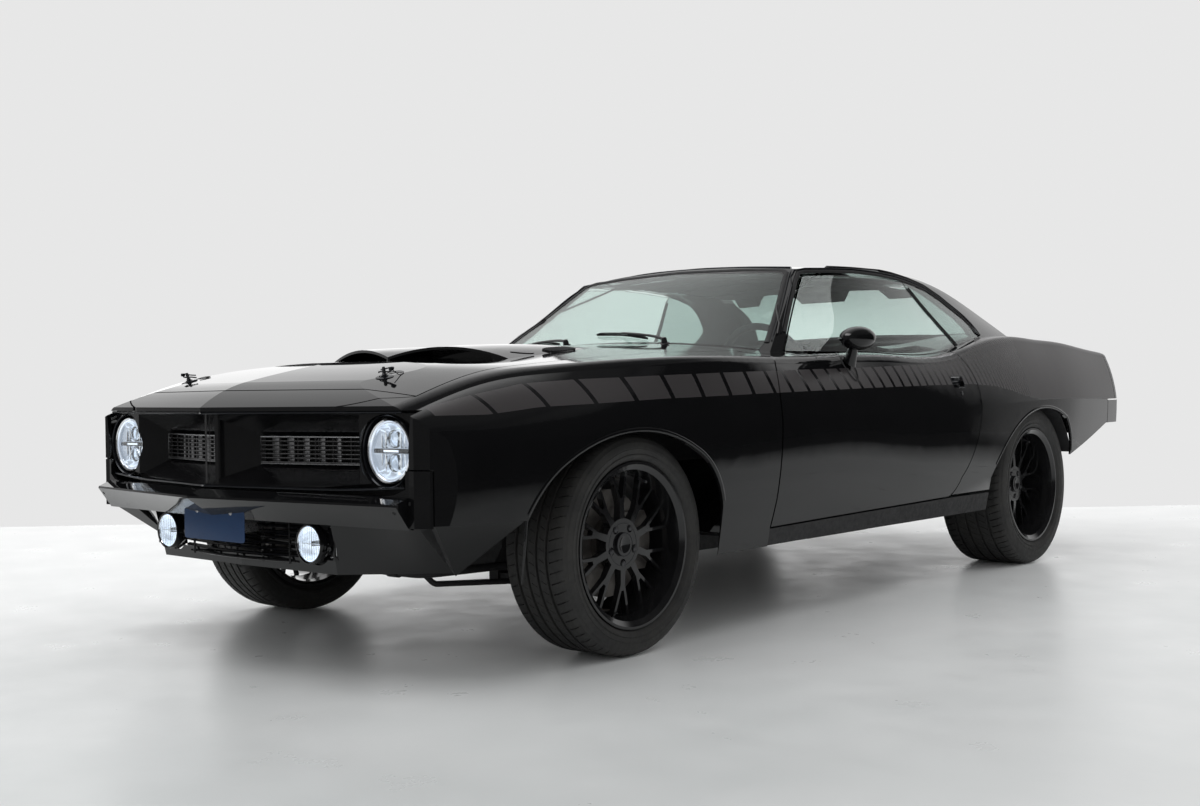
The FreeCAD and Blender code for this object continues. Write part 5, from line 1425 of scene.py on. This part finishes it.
# ---------------------------------------------------------------- cabin
def cabin():
    lining = Piece("headlining", "chassis", "seat_vinyl", LINING)
    roof = surface("roof")

    def under_roof(x, y):
        found = hit(roof, (x, y, 0.95), UP, 0.6)
        return found[0].z if found else 1.20

    rows = []
    for i in range(25):
        y = 0.060 + 1.000 * i / 24
        sag = 0.006 * abs(math.sin(PI * (y - 0.06) / 0.25))
        rows.append([vec(x, y, under_roof(x, y) - 0.010 - sag)
                     for x in [-0.470 + 0.940 * k / 32 for k in range(33)]])
    lining.rings(rows, loop=False, caps=False)
    for y in (0.310, 0.560, 0.810):
        xs = [-0.465 + 0.930 * k / 32 for k in range(33)]
        lining.rod([(x, y, under_roof(x, y) - 0.0125) for x in xs], 0.0035, 8)
    lining.done()
    for side, name in SIDES.items():
        card = Piece(name + "_door_card", name + "_door", "dash_plastic", VINYL, CHROME, PLASTIC)
        inner = side * 0.796
        outline = pairs(-545, 400,  -545, 790,  -525, 822,  600, 835,  640, 800,  600, 560,  520, 400)
        card.plate([(inner, y, z) for y, z in outline], (-side * 0.010, 0, 0), 0, 0.004)
        x0, x1 = sorted((side * 0.742, side * 0.790))
        card.block((x0, 0.120, 0.620), (x1, 0.500, 0.662), 0.014, 0, segments=4)
        for z in (0.470, 0.500, 0.530, 0.720, 0.752):
            card.rod([(side * 0.7850, -0.500, z), (side * 0.7850, 0.560, z)], 0.0035, 8, 0)
        card.rod(sided(side, 784.5, -510, 575,  784.5, 575, 590), 0.0030, 8, 1)
        card.lathe(pairs(0, 16,  8, 15,  12, 10,  20, 8,  20, 0),
                   (side * 0.786, -0.100, 0.650), (-side, 0, 0), 28, 1)
        card.tube(sided(side, 770, -100, 650,  764, -55, 656,  764, -12, 660), 0.0045, 10, 1)
        card.lathe(pairs(0, 7,  4, 9,  18, 8,  22, 0), (side * 0.766, -0.010, 0.660),
                   (-side, 0, 0), 20, 2)
        card.lathe(pairs(0, 14,  10, 13,  14, 0), (side * 0.786, 0.040, 0.735), (-side, 0, 0), 24, 1)
        card.tube(sided(side, 772, 40, 735,  766, 85, 738,  768, 120, 736), 0.0045, 10, 1)
        card.done()
    rug = Piece("cabin_carpet", "chassis", "seat_vinyl", CARPET, RUBBER)
    floor = surface("floor_structure")
    rows = []
    for y in [-0.600 + 1.45 * i / 48 for i in range(49)]:
        rows.append([])
        for x in [-0.735 + 1.47 * k / 64 for k in range(65)]:
            found = hit(floor, (x, y, 0.70), DOWN, 0.6)
            rows[-1].append(vec(x, y, (found[0].z if found else 0.285) + 0.006))
    rug.rings(rows, loop=False, caps=False)
    for side in SIDES:
        for i in range(9):
            x = side * (0.25 + 0.04 * i)
            rug.rod([(x, -0.42, 0.2935), (x, -0.02, 0.2935)], 0.004, 6, 1)
    rug.done()


cabin()


# ---------------------------------------------------------------- dashboard
# place along the panel and radius of the six gauges
GAUGES = ((-0.235, 0.036), (-0.145, 0.036), (-0.045, 0.043), (0.062, 0.043), (0.160, 0.036),
          (0.222, 0.018))
# a point on the dashboard's face
DASH_Y, DASH_Z = -0.206, 0.770


def dash():
    top = Piece("dash_pad", "chassis", "dash_plastic", PLASTIC, CHROME, GLOSS_TRIM, WHITE_LED, LENS)
    # padded brow along the rear edge of the dashboard
    top.tube(triples(-728, -176, 856,  -400, -171, 860,  0, -170, 861,  400, -171, 860,
                     728, -176, 856), 0.0150, 16, 0, steps=8, flat=0.8)
    slope = vec(0, 0.060, 0.150).normalized()
    facing = vec(0, 0.9285, -0.3714)
    panel = vec(0.370, DASH_Y, DASH_Z)
    right_way = vec(1, 0, 0)

    def bezel(at, x0, x1, z0, z1, radius, look):
        """Thin frame on the sloping face of the dashboard."""
        corners = ((x0, z0), (x0, z1), (x1, z1), (x1, z0))
        top.rod([at + right_way * dx + slope * dz for dx, dz in corners], radius, 8, look, closed=True)

    bezel(panel, -0.30, 0.26, -0.052, 0.048, 0.0035, 1)
    for dx, radius in GAUGES:
        at = panel + right_way * dx
        top.lathe([(0.0, radius), (0.010, radius), (0.012, radius - 0.002), (0.012, radius - 0.005),
                   (0.003, radius - 0.007), (0.003, 0.0)], at, facing, 48, 2)
        top.lathe([(0.0105, radius - 0.0035), (0.0135, radius - 0.0045), (0.0140, radius - 0.0060),
                   (0.0110, radius - 0.0065)],
                  at, facing, 48, 1, closed=True)
        for k in range(21):
            a = math.radians(-130 + 13 * k)
            spoke = right_way * math.sin(a) + slope * math.cos(a)
            top.rod([at + facing * 0.0042 + spoke * (radius - 0.012),
                     at + facing * 0.0042 + spoke * (radius - 0.0085)], 0.0006, 5, 3)
        needle = right_way * -0.7 + slope * -0.4
        top.rod([at + facing * 0.006, at + facing * 0.006 + needle.normalized() * (radius - 0.012)],
                0.0010, 6, 3)
        top.lathe(pairs(4.5, 4,  7.5, 3,  7.5, 0), at, facing, 16, 2)
    for x in (-0.52, -0.12, 0.690):
        at = vec(x, DASH_Y, DASH_Z)
        bezel(at, -0.045, 0.045, -0.022, 0.022, 0.0030, 1)
        for k in range(5):
            dz = -0.016 + 0.008 * k
            top.rod([at + right_way * -0.043 + slope * dz, at + right_way * 0.043 + slope * dz], 0.0018,
                    6, 2)
    # glove box lid and its push button
    bezel(vec(0, -0.214, 0.750), -0.640, -0.330, -0.045, 0.0, 0.0022, 2)
    top.lathe(pairs(0, 10,  5, 10,  7, 8,  7, 0), (-0.485, -0.214, 0.735), facing, 24, 1)
    for k in range(5):
        at = vec(-0.02 + 0.028 * k, -0.214, 0.722)
        top.lathe(pairs(0, 8,  12, 7.5,  16, 5,  16, 0), at, facing, 16, 2)
    top.done()


dash()

# ---------------------------------------------------------------- tail
def tail():
    for side, name in SIDES.items():
        lamp = Piece(name + "_tail_lamp", "chassis", "tail_lens", TAIL_LENS, GLOSS_TRIM, CHROME, LENS)
        x_in, x_out = side * 0.262, side * 0.758
        y, z0, z1 = 2.3285, 0.752, 0.852
        for inset, proud, *bar in ((0.0, 0.0, 0.0055, 10, 1), (0.006, 0.003, 0.0020, 8, 2)):
            xs, zs = (x_in + side * inset, x_out - side * inset), (z0 + inset, z1 - inset)
            lamp.rod([(xs[i], y + proud, zs[k]) for i, k in ((0, 0), (0, 1), (1, 1), (1, 0))], *bar,
                      closed=True)
        # vertical ribs of the lens over three cells, the inner one clear
        cells = ((0.272, 0.350, 3), (0.362, 0.548, 0), (0.560, 0.748, 0))
        for near, far, look in cells:
            low, high = sorted((side * near, side * far))
            lamp.block((low, y - 0.006, z0 + 0.010), (high, y - 0.001, z1 - 0.010), 0.002, look)
            count = int((far - near) / 0.011)
            for k in range(count):
                x = low + (high - low) * (k + 0.5) / count
                lamp.rod([(x, y - 0.0008, z0 + 0.013), (x, y - 0.0008, z1 - 0.013)], 0.0032, 8, look,
                          flat=0.7, up=REARWARD)
        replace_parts(lamp.done(), "tail_lamps")
    back = Piece("tail_trim", "chassis", "grille_black", GLOSS_TRIM, STEEL)
    # ribbed moulding between the lamps
    for k in range(7):
        z = 0.762 + 0.0135 * k
        back.rod([(-0.236, 2.3312, z), (0.236, 2.3312, z)], 0.0042, 8, 0, flat=0.6, up=REARWARD)
    back.lathe(pairs(-2, 15,  3, 14.8,  5, 12,  4.5, 6,  4.5, 0), (0.0, 2.330, 0.738),
               REARWARD, 32, 1)
    bumper_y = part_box("rear_bumper")[1].y
    for side in SIDES:
        for x in (0.420, 0.640):
            back.lathe(pairs(-3, 8.5,  1, 8,  1.6, 5,  1.6, 0),
                       (side * x, bumper_y - 0.002, 0.660), REARWARD, 24, 1)
    back.done()
    tips = Piece("tailpipe_tips", "chassis", "exhaust_steel", CHROME, DARK_STEEL)
    for side in SIDES:
        at = (side * 0.400, 2.283, 0.262)
        tips.lathe(pairs(-95, 32.2,  -1, 32.5,  0.4, 31,  0.4, 28.5,  -3, 26.8,  -12, 26.2,  -95, 26.2),
                   at, REARWARD, 64, 0, closed=True)
        for k in (-0.060, -0.072):
            tips.lathe([(k - 0.002, 0.0320), (k, 0.0345), (k + 0.004, 0.0345), (k + 0.006, 0.0320)], at,
                       REARWARD, 48, 1)
    tips.done()


tail()


# ---------------------------------------------------------------- lower nose
def air_intake():
    """Slats and uprights in the opening of the lower valance."""
    slats = Piece("lower_intake", "chassis", "grille_black", RECESS, DARK_STEEL)
    for k in range(9):
        z = 0.320 + 0.0165 * k
        reach = 0.290 if k else 0.270
        slats.tube([(-reach, -2.178, z), (-0.10, -2.206, z), (0.0, -2.210, z), (0.10, -2.206, z),
                    (reach, -2.178, z)],
                   0.0042, 8, 0, steps=4, flat=1.8, up=(0, 1, 0.3))
    for x in (-0.24, -0.12, 0.0, 0.12, 0.24):
        y = -2.188 - 0.014 * (1 - abs(x) / 0.3)
        slats.rod([(x, y, 0.312), (x, y, 0.460)], 0.0035, 8, 0)
    slats.done()


air_intake()

# ---------------------------------------------------------------- arch lips and engine dressing
def arc_through(a, b, c, steps=14):
    """Points on the circle through three (u, v) pairs, from a to c by way of b."""
    (ax, ay), (bx, by), (cx, cy) = a, b, c
    d = 2 * (ax * (by - cy) + bx * (cy - ay) + cx * (ay - by))
    ux = ((ax * ax + ay * ay) * (by - cy) + (bx * bx + by * by) * (cy - ay) + (cx * cx + cy * cy)
          * (ay - by)) / d
    uy = ((ax * ax + ay * ay) * (cx - bx) + (bx * bx + by * by) * (ax - cx) + (cx * cx + cy * cy)
          * (bx - ax)) / d
    radius = math.hypot(ax - ux, ay - uy)
    first, last = math.atan2(ay - uy, ax - ux), math.atan2(cy - uy, cx - ux)
    if last > first:
        last -= 2 * PI
    swept = [first + (last - first) * k / steps for k in range(steps + 1)]
    return [(ux + radius * math.cos(t), uy + radius * math.sin(t)) for t in swept]


FRONT_ARCH = [pairs(-1896, 441,  -1842, 523,  -1747, 597), pairs(-1747, 597,  -1463, 671,
                                                                         -1183, 604),
              pairs(-1183, 604,  -1086, 525,  -1040, 424)]
REAR_ARCH = [pairs(872, 408,  945, 490,  1040, 574), pairs(1040, 574,  1370, 687,  1618, 638),
             pairs(1618, 638,  1668, 572,  1692, 470)]
LIP_OUT = 0.0085


def arch_lips(side):
    """Rolled edge round both wheel openings of one side."""
    name = SIDES[side]
    lips = Piece(name + "_arch_lips", "chassis", "black_paint", PAINT)
    for panel, arcs, keep in (("_front_fender", FRONT_ARCH, -9.0),
                              ("_quarter_panel", REAR_ARCH, 0.905)):
        line = [p for arc in arcs for p in arc_through(*arc)[:-1]]
        middle = (line[0][0] + line[-1][0]) / 2
        outer = []
        for u, v in line:
            away = vec(u - middle, v - 0.36).normalized() * LIP_OUT
            outer.append((u + away.x, v + away.y))
        rays = side_rays(side, [(u, v) for u, v in outer if u > keep])
        lips.laid_strip(surface(name + panel), rays, 0.013, 0.0030, sink=0.0008)
    return lips.done()


ENGINE_TOP = 0.838
HOOD_GAP = 0.014


def engine_dressing():
    """Ribbed rocker covers, air cleaner, distributor and its leads on top of the block."""
    above = [hit(surface("hood"), (x, y, ENGINE_TOP), UP, 0.3) for x in (-0.17, 0.0, 0.17)
             for y in (-1.55, -1.38, -1.2)]
    room = min([(found[0].z - ENGINE_TOP) for found in above if found] or [0.05]) - HOOD_GAP
    tall = max(0.012, min(0.062, room))
    top = Piece("engine_dressing", "chassis", "engine_iron", ENGINE, DARK_STEEL, STEEL, RUBBER)
    for side in SIDES:
        slope = Matrix.Rotation(side * math.radians(12.5), 4, "Y")
        turn = Matrix.Translation(vec(side * 0.212, -1.385, 0.8155)) @ slope
        cover = min(0.026, tall)
        for x, half_x, half_y, low, high, bevel, look in (
                [(0.0, 0.062, 0.262, 0.0, cover, 0.009, 1)]
                + [(-0.036 + 0.018 * k, 0.0028, 0.225, cover - 0.002, cover + 0.005, 0.0012, 2)
                   for k in range(5)]):
            at = turn @ vec(x, 0.0, (low + high) / 2)
            half = vec(half_x, half_y, (high - low) / 2)
            top.block(at - half, at + half, bevel, look, turn=slope)
        for y in (-0.235, -0.08, 0.08, 0.235):
            for x in (-0.056, 0.056):
                top.lathe(pairs(0, 5.5,  3.5, 5.5,  4.5, 4,  5, 0),
                          turn @ vec(x, y, cover - 0.003), slope.to_3x3() @ Vector(UP), 8, 2)
    crown = min(0.058, tall)
    top.lathe([(0.0, 0.070), (crown * 0.10, 0.120), (crown * 0.16, 0.146), (crown * 0.22, 0.150),
               (crown * 0.80, 0.150), (crown * 0.86, 0.153), (crown * 0.92, 0.150),
               (crown * 0.97, 0.136), (crown, 0.040), (crown, 0.0)],
              (0.0, -1.40, ENGINE_TOP), UP, 64, 1)
    for a in turns(60):
        out = vec(math.cos(a), math.sin(a), 0.0)
        base = vec(0.0, -1.40, ENGINE_TOP) + out * 0.1495
        top.rod([base + vec(0, 0, crown * 0.24), base + vec(0, 0, crown * 0.78)], 0.0018, 5, 3)
    cap = vec(0.0, -1.085, ENGINE_TOP)
    high = min(0.045, tall)
    top.lathe([(0.0, 0.030), (high * 0.5, 0.032), (high * 0.7, 0.040), (high * 0.9, 0.036),
               (high, 0.020), (high, 0.0)],
              cap, UP, 32, 1)
    for side in SIDES:
        for k in range(4):
            a = PI / 2 - side * (0.5 + 0.5 * k)
            start = cap + vec(0.030 * math.cos(a), 0.030 * math.sin(a), high * 0.85)
            end = vec(side * 0.288, -1.20 - 0.12 * k, 0.802)
            middle = start.lerp(end, 0.5) + vec(0, 0.012 * (3 - k), 0.014)
            top.tube([start, start.lerp(middle, 0.5) + vec(0, 0, 0.004), middle, end], 0.0036, 8, 3,
                     steps=6)
    return top.done()


for side in SIDES:
    arch_lips(side)
engine_dressing()
